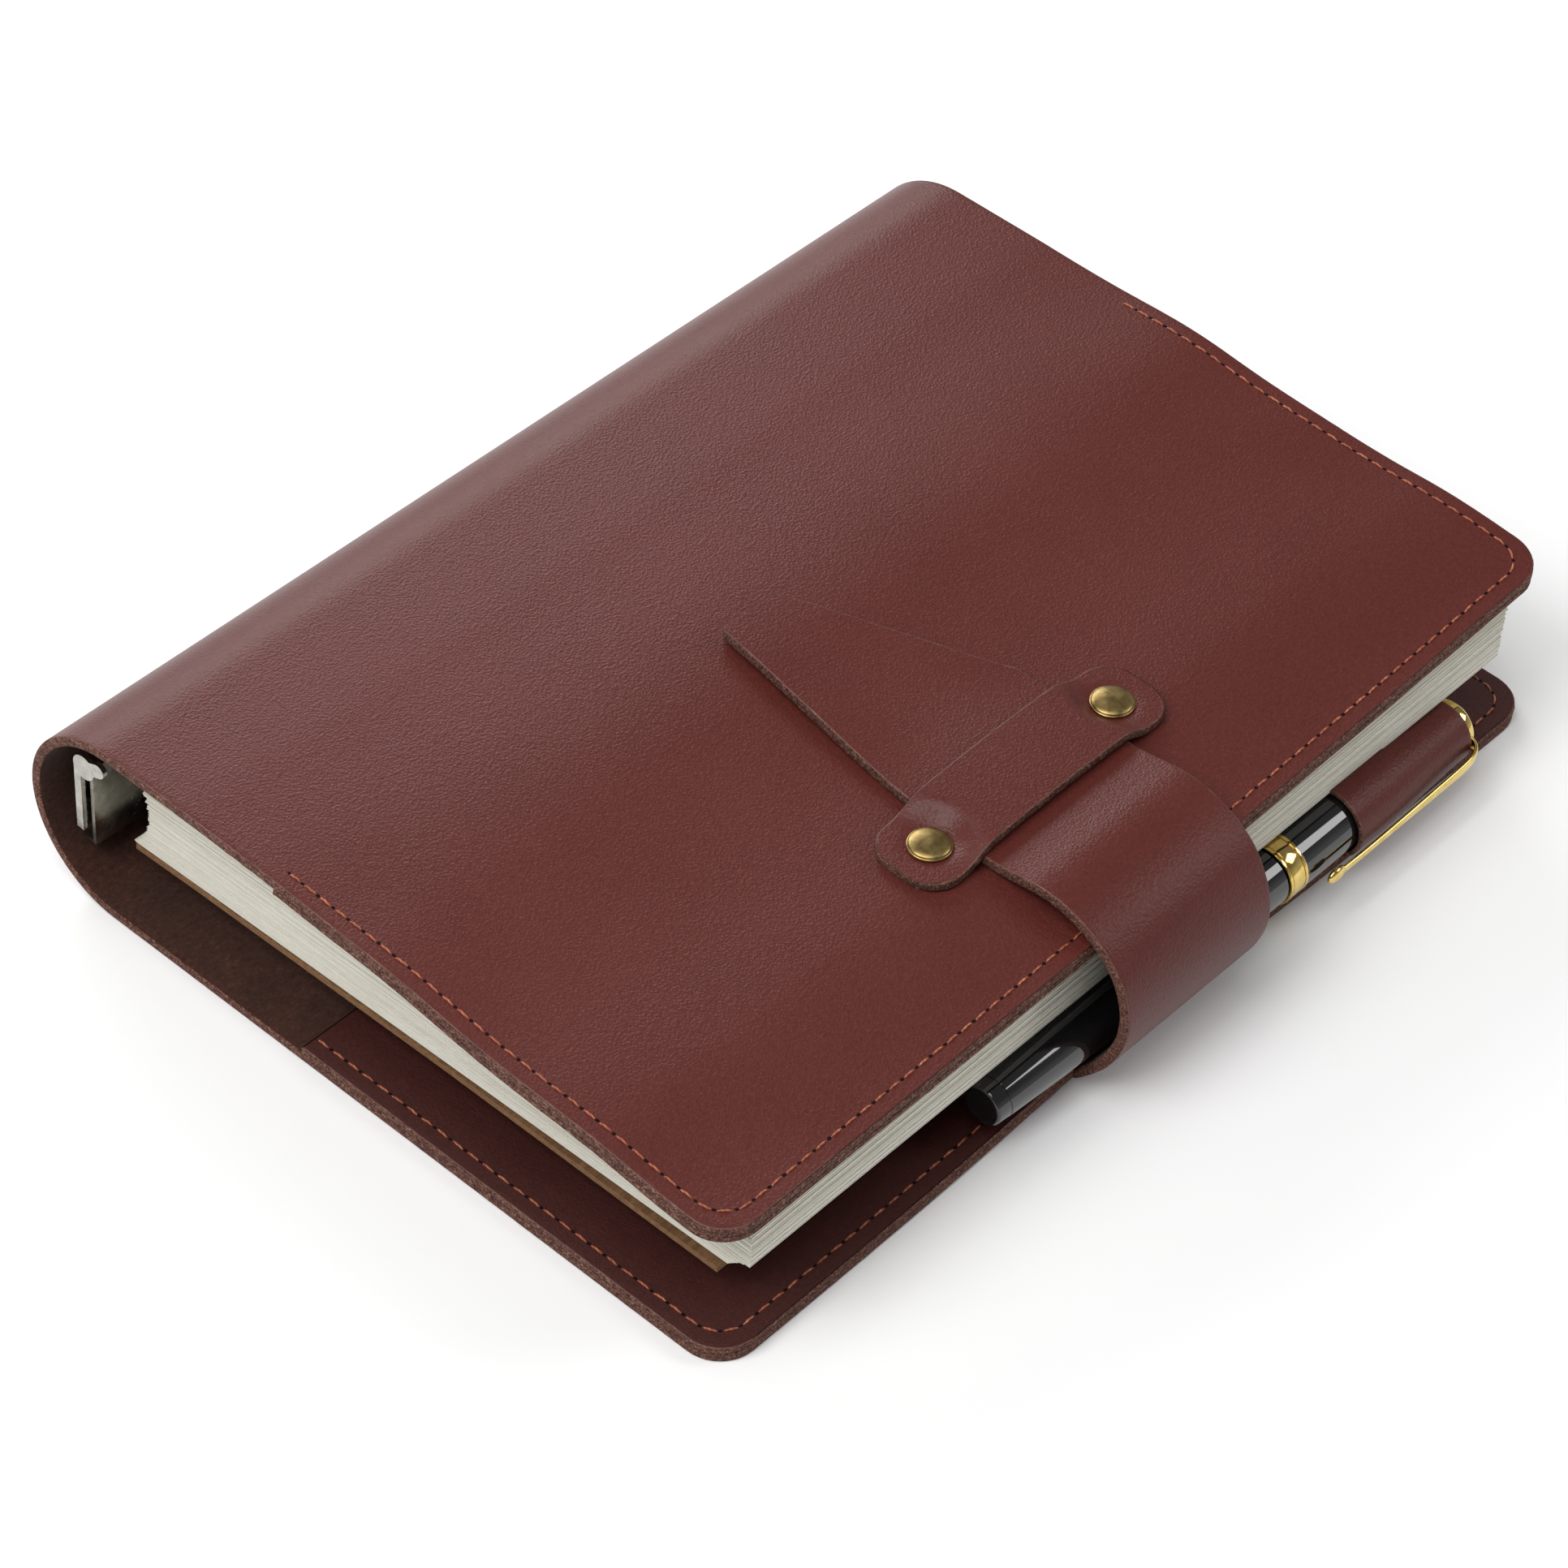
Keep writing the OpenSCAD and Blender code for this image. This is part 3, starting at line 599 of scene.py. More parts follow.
def front_skew(x, y):
    """The front cover's fore-edge runs slightly askew, and ends further in at its head."""
    return -1.3 * smooth(y / HALF_H) * smooth((x + 20) / 90)


def strap_pull(x, y):
    """How strongly the strap draws on the back cover: 1 at the fore-edge beside the strap."""
    return np.exp(-(((y - STRAP_MID_Y) / 44) ** 2)) * smooth((x - 40) / 40)


def back_wave(x, y):
    """The back cover lies flat, and its fore-edge lifts where the strap draws on it."""
    return 1.5 * strap_pull(x, y)


def back_skew(x, y):
    return -1.0 * strap_pull(x, y)


def no_skew(x, y):
    return 0.0


def half_height(edge_distance):
    """Half the cover's height at a distance from its fore-edge, with the corner's rounding."""
    if edge_distance >= CORNER_R:
        return HALF_H
    inset = CORNER_R - edge_distance
    return HALF_H - CORNER_R + math.sqrt(max(0.0, CORNER_R**2 - inset**2))


def cover_path():
    spine = arc((SPINE_X, SPINE_R), SPINE_R, 270, 90, 60)
    fall = [(x, front_z(x)) for x in np.linspace(CREST_END_X, FALL_END_X, 60)]
    return Path([(BACK_EDGE_X, 0.0), *spine, *fall, (FRONT_EDGE_X, FORE_Z)])


def cover_leather():
    """The back, the rounded spine and the front: one panel of leather that bends at the spine."""
    path = cover_path()

    def place(u, v, depth):
        x, z = path.at(u, depth)
        turned = smooth((path.at(u)[1] - 8) / 26)
        z = z + turned * front_wave(x, v) + (1 - turned) * back_wave(x, v)
        return x + turned * front_skew(x, v) + (1 - turned) * back_skew(x, v), v, z

    def span(u):
        half = half_height(min(u, path.length - u))
        return -half, half

    us = ends_and_steps(path.length, 1.5, CORNER_R)
    obj = slab("cover_leather", place, us, span, 160, COVER_T, SKINS, seed=3.0)
    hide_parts("back_cover", "front_cover")
    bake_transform(obj)


def pocket_leather(name, path, wave, skew, low_first, node, body):
    """A pocket sewn inside a cover; its grain side faces the leaves."""

    def place(u, v, depth):
        x, z = path.at(u, depth)
        return x + skew(x, v), v, z + wave(x, v)

    def span(u):
        from_edge = path.length - u if low_first else u
        half = half_height(from_edge)
        return -half, half

    us = ends_and_steps(path.length, 1.8, CORNER_R)
    obj = slab(name, place, us, span, 150, POCKET_T - 0.04, SHADED_POCKET_SKINS, seed=7.0)
    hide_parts(node)
    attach(obj, body)


def pockets():
    back = Path([(back_pocket_low[0], back_pocket_high[2]), (BACK_EDGE_X, back_pocket_high[2])])
    pocket_leather("back_pocket_leather", back, back_wave, back_skew, True, "back_pocket", "root")
    xs = np.linspace(FRONT_EDGE_X, front_pocket_low[0], 70)
    front = Path([(x, front_z(x) - COVER_T - POCKET_T) for x in xs])
    inside = "front_pocket_leather"
    pocket_leather(inside, front, front_wave, front_skew, False, "front_pocket", "front_cover")


# ---------------------------------------------------------------- stitching


def stitch_line(edge_x, start_x):
    """The seam's plan from the tail edge round both fore-edge corners, as points (x, y)."""
    side = HALF_H - STITCH_INSET
    fore = edge_x - STITCH_INSET
    turn = CORNER_R - STITCH_INSET + 1.5
    centre = fore - turn
    tail = arc((centre, -side + turn), turn, -90, 0, 10)
    head = arc((centre, side - turn), turn, 0, 90, 10)
    return [(start_x, -side), *tail, *head, (start_x, side)]


def stitches(name, line, height, up, body, skew=no_skew, skip=None):
    """A row of stitches along a plan line; height(x, y) is the leather's face and up its side."""
    line = np.array(line, float)
    marks = np.concatenate([[0.0], np.cumsum(np.linalg.norm(np.diff(line, axis=0), axis=1))])
    rng = random.Random(name)

    def at(s):
        x = float(np.interp(s, marks, line[:, 0]))
        y = float(np.interp(s, marks, line[:, 1]))
        return np.array((x + skew(x, y), y, height(x, y)))

    points, faces, picks = [], [], []
    count = int((marks[-1] - STITCH_LEN) / STITCH_PITCH)
    sides, rings = 8, 7
    for k in range(count + 1):
        start = k * STITCH_PITCH + rng.uniform(-0.12, 0.12)
        middle = at(start + STITCH_LEN / 2)
        if skip and skip(middle):
            continue
        slant = rng.uniform(-0.10, 0.10)
        base = len(points)
        for r in range(rings):
            t = r / (rings - 1)
            here = at(start + STITCH_LEN * t)
            along = unit(at(start + STITCH_LEN * t + 0.2) - at(start + STITCH_LEN * t - 0.2))
            across = unit(np.cross((0, 0, up), along))
            swell = math.sin(math.pi * min(1.0, max(0.0, t))) ** 0.6
            radius = THREAD_R * (0.45 + 0.55 * swell)
            centre = here + across * slant * (t - 0.5) * 2 + np.array((0, 0, up)) * (0.24 * swell - 0.12)
            for c in range(sides):
                a = 2 * math.pi * c / sides
                ring = across * math.cos(a) * radius + np.array((0, 0, up)) * math.sin(a) * radius
                points.append(centre + ring)
        for r in range(rings - 1):
            for c in range(sides):
                n = (c + 1) % sides
                a, b = base + r * sides, base + (r + 1) * sides
                faces.append((a + c, a + n, b + n, b + c))
                picks.append(0)
        faces.append(tuple(base + c for c in range(sides))[::-1])
        faces.append(tuple(base + (rings - 1) * sides + c for c in range(sides)))
        picks += [0, 0]
        # A flat near-black disc in the gap before each stitch: the painted shade of its needle hole.
        centre = at(start - (STITCH_PITCH - STITCH_LEN) / 2)
        along = unit(at(start) - centre)
        across = np.cross((0, 0, up), along)
        hole = len(points)
        long_r, wide_r = rng.uniform(0.36, 0.48), rng.uniform(0.27, 0.36)
        lift = np.array((0, 0, up)) * 0.035
        for c in range(12):
            a = 2 * math.pi * c / 12
            points.append(centre + along * math.cos(a) * long_r + across * math.sin(a) * wide_r + lift)
        points.append(centre + lift * 1.6)
        for c in range(12):
            tri = (hole + c, hole + (c + 1) % 12, hole + 12)
            faces.append(tri if up > 0 else tri[::-1])
            picks.append(1)
    obj = mesh_object(name, points, faces, (THREAD, HOLE_SHADE), picks)
    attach(obj, body)


def all_stitching():
    def on_front(x, y):
        return front_z(x) + front_wave(x, y)

    def under_front(x, y):
        return on_front(x, y) - COVER_T - POCKET_T

    def on_back(x, y):
        return back_pocket_high[2] + back_wave(x, y)

    front = stitch_line(FRONT_EDGE_X, front_pocket_low[0] + 0.8)
    back = stitch_line(BACK_EDGE_X, back_pocket_low[0] + 0.8)
    stitches("front_stitching", front, on_front, 1, "front_cover", front_skew)
    stitches("front_stitching_inside", front, under_front, -1, "front_cover", front_skew)
    stitches("back_stitching", back, on_back, 1, "root", back_skew)

    def under_tab(p):
        return p[0] > foot_low[0] and foot_low[1] - 1 < p[1] < foot_high[1] + 1

    stitches("back_stitching_outside", back, back_wave, -1, "root", back_skew, under_tab)


# ---------------------------------------------------------------- strap and keeper


def strap_leather():
    """The strap in one length: tongue, bend round the fore-edge, and the tab under the back."""
    lift = 0.1
    tongue = [(x, front_z(x) + lift + STRAP_T) for x in np.linspace(strap_low[0], 56, 50)]
    right = strap_high[0]
    bend_r = 19.6
    bend = arc((right - bend_r, 21.0), bend_r, 110, -14, 56)
    curve = [(1.9, 12.2), (3.6, 8.8), (5.6, 6.0), (7.6, 3.6), (9.2, 1.7)]
    foot = [(right - inward, z) for inward, z in curve]
    tab = [(BACK_EDGE_X - 1.6, 0.5), (foot_low[0] + 20, 0.0), (foot_low[0], 0.0)]
    path = Path([*tongue, *bend, *foot, *tab], soften=20)
    taper_end, shoulder_in, shoulder_out = 46.0, 17.8, 28.5
    near_tip, far_tip, far_mid = -13.8, 1.3, 15.0
    tip_r = 1.6

    def thickness_at(u):
        """Full thickness to the foot, then thinned where the tab lies under the back cover."""
        x, z = path.at(u)
        return STRAP_T - 0.95 * smooth((BACK_EDGE_X + 2.5 - x) / 3) * (z < 4)

    def place(u, v, depth):
        x, z = path.at(u, depth / STRAP_T * thickness_at(u))
        side = (v - STRAP_MID_Y) / STRAP_HALF_W
        on_top = smooth((z - 30) / 5)
        free = 1 - smooth((x - 8) / 26)
        curl = 0.85 * free * smooth(-side * 1.4) + 0.45 * free * smooth((side - 0.2) * 2)
        crown = 0.35 * smooth((x - 20) / 20) * (1 - side**2)
        return x, v, z + on_top * (front_lift(np.minimum(x, 80), v) + curl + crown)

    def span(u):
        x, z = path.at(u)
        if z < 30 or x > taper_end:
            return STRAP_MID_Y - STRAP_HALF_W, STRAP_MID_Y + STRAP_HALF_W
        share = (x - strap_low[0]) / (taper_end - strap_low[0])
        near = near_tip + (-STRAP_HALF_W - near_tip) * share
        far = np.interp(x, (strap_low[0], shoulder_in, shoulder_out), (far_tip, far_mid, STRAP_HALF_W))
        round_tip = max(0.0, tip_r - u)
        cut = tip_r - math.sqrt(max(0.0, tip_r**2 - round_tip**2))
        return STRAP_MID_Y + near + cut, STRAP_MID_Y + float(far) - cut

    us = [0.0, 0.1, 0.3, 0.7, 1.2, tip_r] + list(np.linspace(2.4, path.length, 260))
    obj = slab("strap_leather", place, us, span, 50, STRAP_T, SKINS, ragged=0.2, seed=11.0)
    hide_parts("strap", "strap_base")
    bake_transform(obj)


def keeper_leather():
    """The band across the tongue: flat under its rivets, arched between them."""
    half_w = (keeper_high[0] - keeper_low[0]) / 2
    half_l = (keeper_high[1] - keeper_low[1]) / 2
    flat_z = FORE_Z + KEEPER_T
    rise = 2.6
    corner = 6.5

    def place(u, v, depth):
        y = u - half_l
        dy = np.abs(y)
        arch = smooth((26.2 - dy) / 8.5) + 0.26 * np.clip(1 - (dy / 22) ** 2, 0, 1)
        off = np.hypot(v, dy - KEEPER_RIVET_HALF)
        arch = arch * smooth((off - 3.2) / 6.0)
        dish = 0.25 * (1 - smooth((off - 3.4) / 3.0))
        z = flat_z + rise * arch - dish + front_lift(KEEPER_X, y + KEEPER_Y)
        return KEEPER_X + v, y + KEEPER_Y, z - depth

    def span(u):
        inset = max(0.0, corner - min(u, 2 * half_l - u))
        half = half_w - corner + math.sqrt(max(0.0, corner**2 - inset**2))
        return half, -half

    us = ends_and_steps(2 * half_l, 0.6, corner)
    obj = slab("keeper_leather", place, us, span, 40, KEEPER_T, SKINS, ragged=0.18, seed=17.0)
    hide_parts("keeper")
    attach(obj, "front_cover")


def pen_loop_leather():
    """The loop: one strip round the pen, its two ends laid together as a sewn flange."""
    radius = (loop_high[2] - loop_low[2]) / 2 - 0.25
    top_z = loop_low[2] + 2.3
    flange = [(x, top_z) for x in np.linspace(loop_low[0], PEN_X - radius - 1.2, 12)]
    fillet = arc((PEN_X - radius - 1.2, top_z + 1.3), 1.3, -80, -10, 6)
    ring = arc((PEN_X, PEN_Z), radius, 205, -90, 90)
    bottom = [(x, loop_low[2] + 0.02) for x in np.linspace(PEN_X - 0.5, loop_low[0], 16)]
    path = Path([*flange, *fillet, *ring, *bottom], soften=4)

    def place(u, v, depth):
        """The loop draws in with the cap towards the head, and its flange stays flat."""
        x, z = path.at(u, depth)
        drawn = 0.11 * smooth((v - loop_low[1] - 8) / 26) * smooth((x - PEN_X + radius + 1) / 3)
        return x + (PEN_X - x) * drawn, v, z + (PEN_Z - z) * drawn

    def span(_):
        return loop_low[1], loop_high[1]

    us = list(np.linspace(0, path.length, 130))
    obj = slab("pen_loop_leather", place, us, span, 44, LOOP_T, SKINS, ragged=0.10, seed=23.0)
    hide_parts("pen_loop")
    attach(obj, "root")
    seam = [(loop_low[0] + 2.2, loop_low[1] + 1.5), (loop_low[0] + 2.2, loop_high[1] - 0.5)]
    stitches("loop_stitching", seam, lambda x, y: top_z, 1, "root")


# ---------------------------------------------------------------- leaves


LEAF_RISE = (divider_high[2] - lower_low[2]) / (divider_high[0] - lower_low[0])
LOWER_T = 8.0
LEAF_LEVEL_X = 71.0


def leaf_height(x):
    """Height of the lowest leaf's underside at x."""
    return lower_low[2] + LEAF_RISE * (x - lower_low[0])


def fore_edge(z):
    """Where leaves at height z end: the low ones are held back by the pen beside them."""
    if z >= PEN_Z + PEN_CLEARANCE:
        return upper_high[0]
    return min(upper_high[0], PEN_X - math.sqrt(PEN_CLEARANCE**2 - (z - PEN_Z) ** 2))


def punched_sheet(points, faces, z_of, thick, xs, ys):
    """Adds one sheet with six round holes; xs is (inner edge, hole middle, fore-edge)."""
    inner, hole, fore = xs
    cell = 4.2
    x_cuts = [inner, hole - cell, hole + cell, (hole + fore) / 2, fore]
    y_cuts = [ys[0]]
    for y in RING_YS:
        y_cuts += [y - cell, y + cell]
    y_cuts.append(ys[1])
    nx, ny = len(x_cuts), len(y_cuts)
    base = len(points)
    for lift in (thick, 0.0):
        for x in x_cuts:
            for y in y_cuts:
                points.append((x, y, z_of(x, y) + lift))

    def at(i, j, layer):
        return base + layer * nx * ny + i * ny + j

    for i in range(nx - 1):
        for j in range(ny - 1):
            if i == 1 and j % 2 == 1:
                continue
            faces.append((at(i, j, 0), at(i + 1, j, 0), at(i + 1, j + 1, 0), at(i, j + 1, 0)))
            faces.append((at(i, j, 1), at(i, j + 1, 1), at(i + 1, j + 1, 1), at(i + 1, j, 1)))
    quarter = 5
    for k, y in enumerate(RING_YS):
        j = 2 * k + 1
        corners = [(1, j), (2, j), (2, j + 1), (1, j + 1)]
        start = len(points)
        total = 4 * quarter
        for lift in (thick, 0.0):
            for s in range(total):
                a = math.radians(225) + 2 * math.pi * s / total
                x, yy = hole + HOLE_R * math.cos(a), y + HOLE_R * math.sin(a)
                points.append((x, yy, z_of(x, yy) + lift))
        for q in range(4):
            bend = [start + (q * quarter + s) % total for s in range(quarter + 1)]
            a, b = corners[q], corners[(q + 1) % 4]
            faces.append((at(*a, 0), at(*b, 0), *bend[::-1]))
            low = [v + total for v in bend]
            faces.append((at(*b, 1), at(*a, 1), *low))
        for s in range(total):
            n = (s + 1) % total
            faces.append((start + s, start + n, start + total + n, start + total + s))
    loop = (
        [(i, 0) for i in range(nx)]
        + [(nx - 1, j) for j in range(1, ny)]
        + [(i, ny - 1) for i in range(nx - 2, -1, -1)]
        + [(0, j) for j in range(ny - 2, 0, -1)]
    )
    for a, b in zip(loop, loop[1:] + loop[:1]):
        faces.append((at(*a, 0), at(*a, 1), at(*b, 1), at(*b, 0)))


def sheet_stack(name, bottom, top, node, seed):
    """A stack of separate sheets between two heights above the lowest leaf's plane."""
    rng = random.Random(seed)
    points, faces = [], []
    gaps = [rng.uniform(0.75, 1.25) for _ in range(SHEETS_PER_HALF)]
    share = (top - bottom - SHEET_T) / sum(gaps[1:])
    height = bottom - gaps[0] * share
    for gap in gaps:
        height += gap * share
        rel = leaf_height(RING_X) + height - RING_Z
        crossing = RING_X + math.sqrt(max(1.0, RING_R**2 - rel**2))
        inner = crossing - LEAF_MARGIN + rng.uniform(-0.35, 0.35)
        fore = fore_edge(leaf_height(LEAF_LEVEL_X + 1) + height) + rng.uniform(-0.25, 0.15)
        ys = (lower_low[1] + rng.uniform(-0.2, 0.2), lower_high[1] + rng.uniform(-0.2, 0.2))
        tilt = 0.3 + 0.55 * height / (2 * LOWER_T)

        def z_of(x, y, h=height, tilt=tilt):
            return leaf_height(min(x, LEAF_LEVEL_X)) + h + tilt * lean(x, y)

        punched_sheet(points, faces, z_of, SHEET_T, (inner, crossing, fore), ys)
    obj = mesh_object(name, points, faces, (PAPER,), smooth_faces=False)
    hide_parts(node)
    return obj


def leaves():
    lower = sheet_stack("lower_sheets", 0.0, LOWER_T, "lower_leaves", 5)
    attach(lower, "root")
    upper_from = LOWER_T + 0.05
    upper = sheet_stack("upper_sheets", upper_from, upper_from + LOWER_T, "upper_leaves", 9)
    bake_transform(upper)


def divider_board():
    """The kraft divider, a stiff board that droops away from the leaves at the fore-edge."""
    thick = 1.3
    rel = leaf_height(RING_X) - thick - RING_Z
    crossing = RING_X + math.sqrt(max(1.0, RING_R**2 - rel**2))
    points, faces = [], []

    def z_of(x, y):
        droop = 2.2 * smooth((x + 30) / 110)
        return leaf_height(x) - thick - 0.06 - droop + 0.4 * lean(x, y)

    xs = (divider_low[0], crossing, divider_high[0] + 1.5)
    ys = (lower_low[1] - 0.3, lower_high[1] + 0.3)
    punched_sheet(points, faces, z_of, thick, xs, ys)
    obj = mesh_object("divider_board", points, faces, (KRAFT,), smooth_faces=False)
    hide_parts("back_divider")
    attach(obj, "root")


# ---------------------------------------------------------------- pen


def pen_piece(name, profile, node, body, mat):
    obj = smooth_by_angle(lathe(name, profile, mat))
    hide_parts(node)
    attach(obj, body)


def quarter_round(radius, y, bevel, outward):
    """A small rounded corner of a turned piece; outward is 1 towards +Y and -1 towards -Y."""
    steps = [math.radians(a) for a in (0, 30, 60, 90)]
    points = [(radius - bevel + bevel * math.cos(a), y - outward * bevel * (1 - math.sin(a))) for a in steps]
    return points if outward > 0 else points[::-1]


def pen_cap():
    cap_r = (cap_high[0] - cap_low[0]) / 2
    mouth, lip = cap_low[1], band_high[1]
    top, top_r = cap_high[1], 5.5
    taper_from = lip + 10
    shares = np.linspace(0, 1, 14)
    taper = [(cap_r - (cap_r - top_r) * t**1.5, taper_from + (top - taper_from) * t) for t in shares]
    inside = [(0.0, top - 2), (4.3, top - 2), (5.0, lip + 16), (5.0, mouth)]
    spigot = [(5.85, mouth), (5.85, lip)]
    outside = [(cap_r, lip), *taper[:-1], *quarter_round(top_r, top, 0.3, 1), (0.0, top)]
    pen_piece("pen_cap_body", [*inside, *spigot, *outside], "pen_cap", "pen_cap", LACQUER)


def pen_barrel():
    """The barrel tapers to its tail, and is hollow for the grip section that screws into it."""
    barrel_r = (barrel_high[0] - barrel_low[0]) / 2
    end_r = (plug_high[0] - plug_low[0]) / 2
    tail, joint, mouth = plug_low[1], barrel_low[1], barrel_high[1]

    def radius_at(y):
        u = max(0.0, y / tail)
        return barrel_r - (barrel_r - end_r) * u**1.6

    wall = [(radius_at(y), y) for y in np.linspace(joint + 0.15, mouth - 0.2, 34)]
    start = [(2.4, joint), (radius_at(joint) - 0.12, joint)]
    inside = [(barrel_r - 0.2, mouth), (4.4, mouth), (4.4, -23.0), (2.4, -26.0), (2.4, joint)]
    tube = [*start, *wall, *inside]
    pen_piece("pen_barrel_body", tube, "pen_barrel", "pen_barrel", LACQUER)
    dimple = [(0.0, tail + 0.35), (1.6, tail + 0.25), (end_r - 0.9, tail)]
    end = [*dimple, *quarter_round(end_r - 0.05, tail, 0.6, -1)]
    seam = [(end_r + 0.12, joint - 0.15), (end_r, joint - 0.03)]
    spigot = [(2.3, joint - 0.03), (2.3, joint + 6), (0.0, joint + 6)]
    pen_piece("pen_tail_cap", [*end, *seam, *spigot], "tail_plug", "pen_barrel", LACQUER)


def pen_gold():
    """The cap's band, with a fine groove near each edge, and the domed top."""
    band_r = (band_high[0] - band_low[0]) / 2
    width = band_high[1] - band_low[1]
    inner_r = 5.9
    raised, groove = band_r + 0.05, band_r - 0.18
    parts = (
        (0.0, 0.14, raised),
        (0.14, 0.18, groove),
        (0.18, 0.82, band_r),
        (0.82, 0.86, groove),
        (0.86, 1.0, raised),
    )
    profile = [(inner_r, band_low[1])]
    for start, end, radius in parts:
        low, high = band_low[1] + width * start, band_low[1] + width * end
        profile += quarter_round(radius, low, 0.09, -1) + quarter_round(radius, high, 0.09, 1)
    profile.append((inner_r, band_high[1]))
    pen_piece("cap_gold_band", profile, "cap_band", "pen_cap", GOLD)

    top_r = (finial_high[0] - finial_low[0]) / 2 + 0.5
    low, high = finial_low[1], finial_high[1]
    collar = [(0.0, low), *quarter_round(top_r, low, 0.2, -1), *quarter_round(top_r, low + 1.9, 0.4, 1)]
    dome_r, dome_from = top_r * 0.86, low + 2.0
    turns = np.linspace(0, math.pi / 2, 10)
    dome = [(dome_r * math.cos(a), dome_from + (high - dome_from) * math.sin(a)) for a in turns]
    pen_piece("cap_gold_top", [*collar, *dome], "cap_finial", "pen_cap", GOLD)


def pen_clip():
    """The gold clip: a tapering sprung strip with a rounded face, ending in a ball."""
    ball_r = 1.45
    ball = np.array((clip_high[0] - 1.3 - 0.35, clip_low[1] + 1.3, (clip_low[2] + clip_high[2]) / 2))
    root = np.array((PEN_X + 4.6, clip_high[1] - 0.6, ball[2] + 0.5))
    run_x = clip_high[0] - 1.6
    knots = [
        root,
        (root[0] + 2.2, root[1] + 0.1, ball[2] + 0.45),
        (run_x - 0.5, root[1] - 1.6, ball[2] + 0.3),
        (run_x, root[1] - 5.5, ball[2] + 0.2),
        (run_x + 0.1, (root[1] + ball[1]) / 2, ball[2] + 0.1),
        (run_x + 0.15, ball[1] + 7, ball[2]),
        (ball[0] + 0.1, ball[1] + 1.0, ball[2]),
    ]
    knots = np.array([np.array(k, float) for k in knots])
    marks = np.concatenate([[0.0], np.cumsum(np.linalg.norm(np.diff(knots, axis=0), axis=1))])
    fine = np.linspace(0, marks[-1], 60)
    line = np.stack([np.interp(fine, marks, knots[:, k]) for k in range(3)], axis=1)
    for _ in range(12):
        line[1:-1] = (line[:-2] + 2 * line[1:-1] + line[2:]) / 4
    points, faces = [], []
    sides = 16
    for k, p in enumerate(line):
        t = k / (len(line) - 1)
        along = unit(line[min(k + 1, len(line) - 1)] - line[max(k - 1, 0)])
        wide = np.array((0.0, 0.0, 1.0))
        face = unit(np.cross(wide, along))
        half_w, half_t = 1.45 - 0.65 * smooth(t / 0.8), 0.46
        for s in range(sides):
            a = 2 * math.pi * s / sides
            cx = math.copysign(abs(math.cos(a)) ** 0.6, math.cos(a))
            sx = math.copysign(abs(math.sin(a)) ** 0.8, math.sin(a))
            points.append(p + wide * half_w * cx + face * half_t * sx)
    for k in range(len(line) - 1):
        for s in range(sides):
            n = (s + 1) % sides
            faces.append((k * sides + s, k * sides + n, (k + 1) * sides + n, (k + 1) * sides + s))
    faces.append(tuple(range(sides))[::-1])
    faces.append(tuple((len(line) - 1) * sides + s for s in range(sides)))
    turns, rows = 24, 14
    start = len(points)
    for r in range(rows + 1):
        lat = math.pi * (r / rows - 0.5)
        for s in range(turns):
            a = 2 * math.pi * s / turns
            flat = math.cos(lat)
            spot = (0.62 * flat * math.cos(a), 1.7 * math.sin(lat), 1.12 * flat * math.sin(a))
            points.append(ball + ball_r * np.array(spot))
    for r in range(rows):
        for s in range(turns):
            n = (s + 1) % turns
            a, b = start + r * turns, start + (r + 1) * turns
            faces.append((a + s, b + s, b + n, a + n))
    obj = mesh_object("pen_gold_clip", points, faces, (GOLD,))
    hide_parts("pen_clip")
    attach(obj, "pen_cap")


# ---------------------------------------------------------------- rivets and carried-over metal


def turned_set(name, sites, profile, mat, segments=72):
    """Alike turned pieces in one mesh; a site is (middle, axis), and profile is (radius, height)."""
    points, faces = [], []
    for middle, axis in sites:
        base = len(points)
        axis = unit(np.array(axis, float))
        side = np.array((0.0, 1.0, 0.0))
        third = np.cross(axis, side)
        for radius, height in profile:
            for s in range(segments):
                a = 2 * math.pi * s / segments
                spoke = side * math.cos(a) + third * math.sin(a)
                points.append(np.array(middle) + axis * height + spoke * radius)
        for k in range(len(profile) - 1):
            for s in range(segments):
                n = (s + 1) % segments
                a, b = base + k * segments, base + (k + 1) * segments
                faces.append((a + s, b + s, b + n, a + n))
        faces.append(tuple(base + s for s in range(segments)))
    return smooth_by_angle(mesh_object(name, points, faces, (mat,)), 50)


def domed_cap(radius, dome_from, dome_h):
    """Profile of a low dome with a rolled rim."""
    rim_r = 0.3
    inner = radius * 0.93
    rolled = np.radians(np.linspace(-90, 80, 8))
    rim = [(inner + rim_r * math.cos(a), 0.25 + rim_r * math.sin(a)) for a in rolled]
    rise = np.linspace(0, math.pi / 2, 12)
    dome = [(inner * math.cos(a), dome_from + dome_h * math.sin(a)) for a in rise]
    return [(radius * 0.9, -0.05), *rim, *dome]


def keeper_rivet_caps():
    """Two domed brass rivets through the keeper, each with its post and burr."""
    seat = FORE_Z + KEEPER_T - 0.15
    up = (0, 0, 1)
    ys = [KEEPER_Y + side * KEEPER_RIVET_HALF for side in (-1, 1)]
    sites = [((KEEPER_X, y, seat + front_lift(KEEPER_X, y)), up) for y in ys]
    post = [(1.5, -6.6), (3.0, -6.6), (3.0, -6.1), (1.5, -6.1), (1.5, 0.0)]
    obj = turned_set("keeper_rivet_caps", sites, post + domed_cap(4.25, 0.55, 0.85), BRASS)
    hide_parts("keeper_rivets")
    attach(obj, "front_cover")


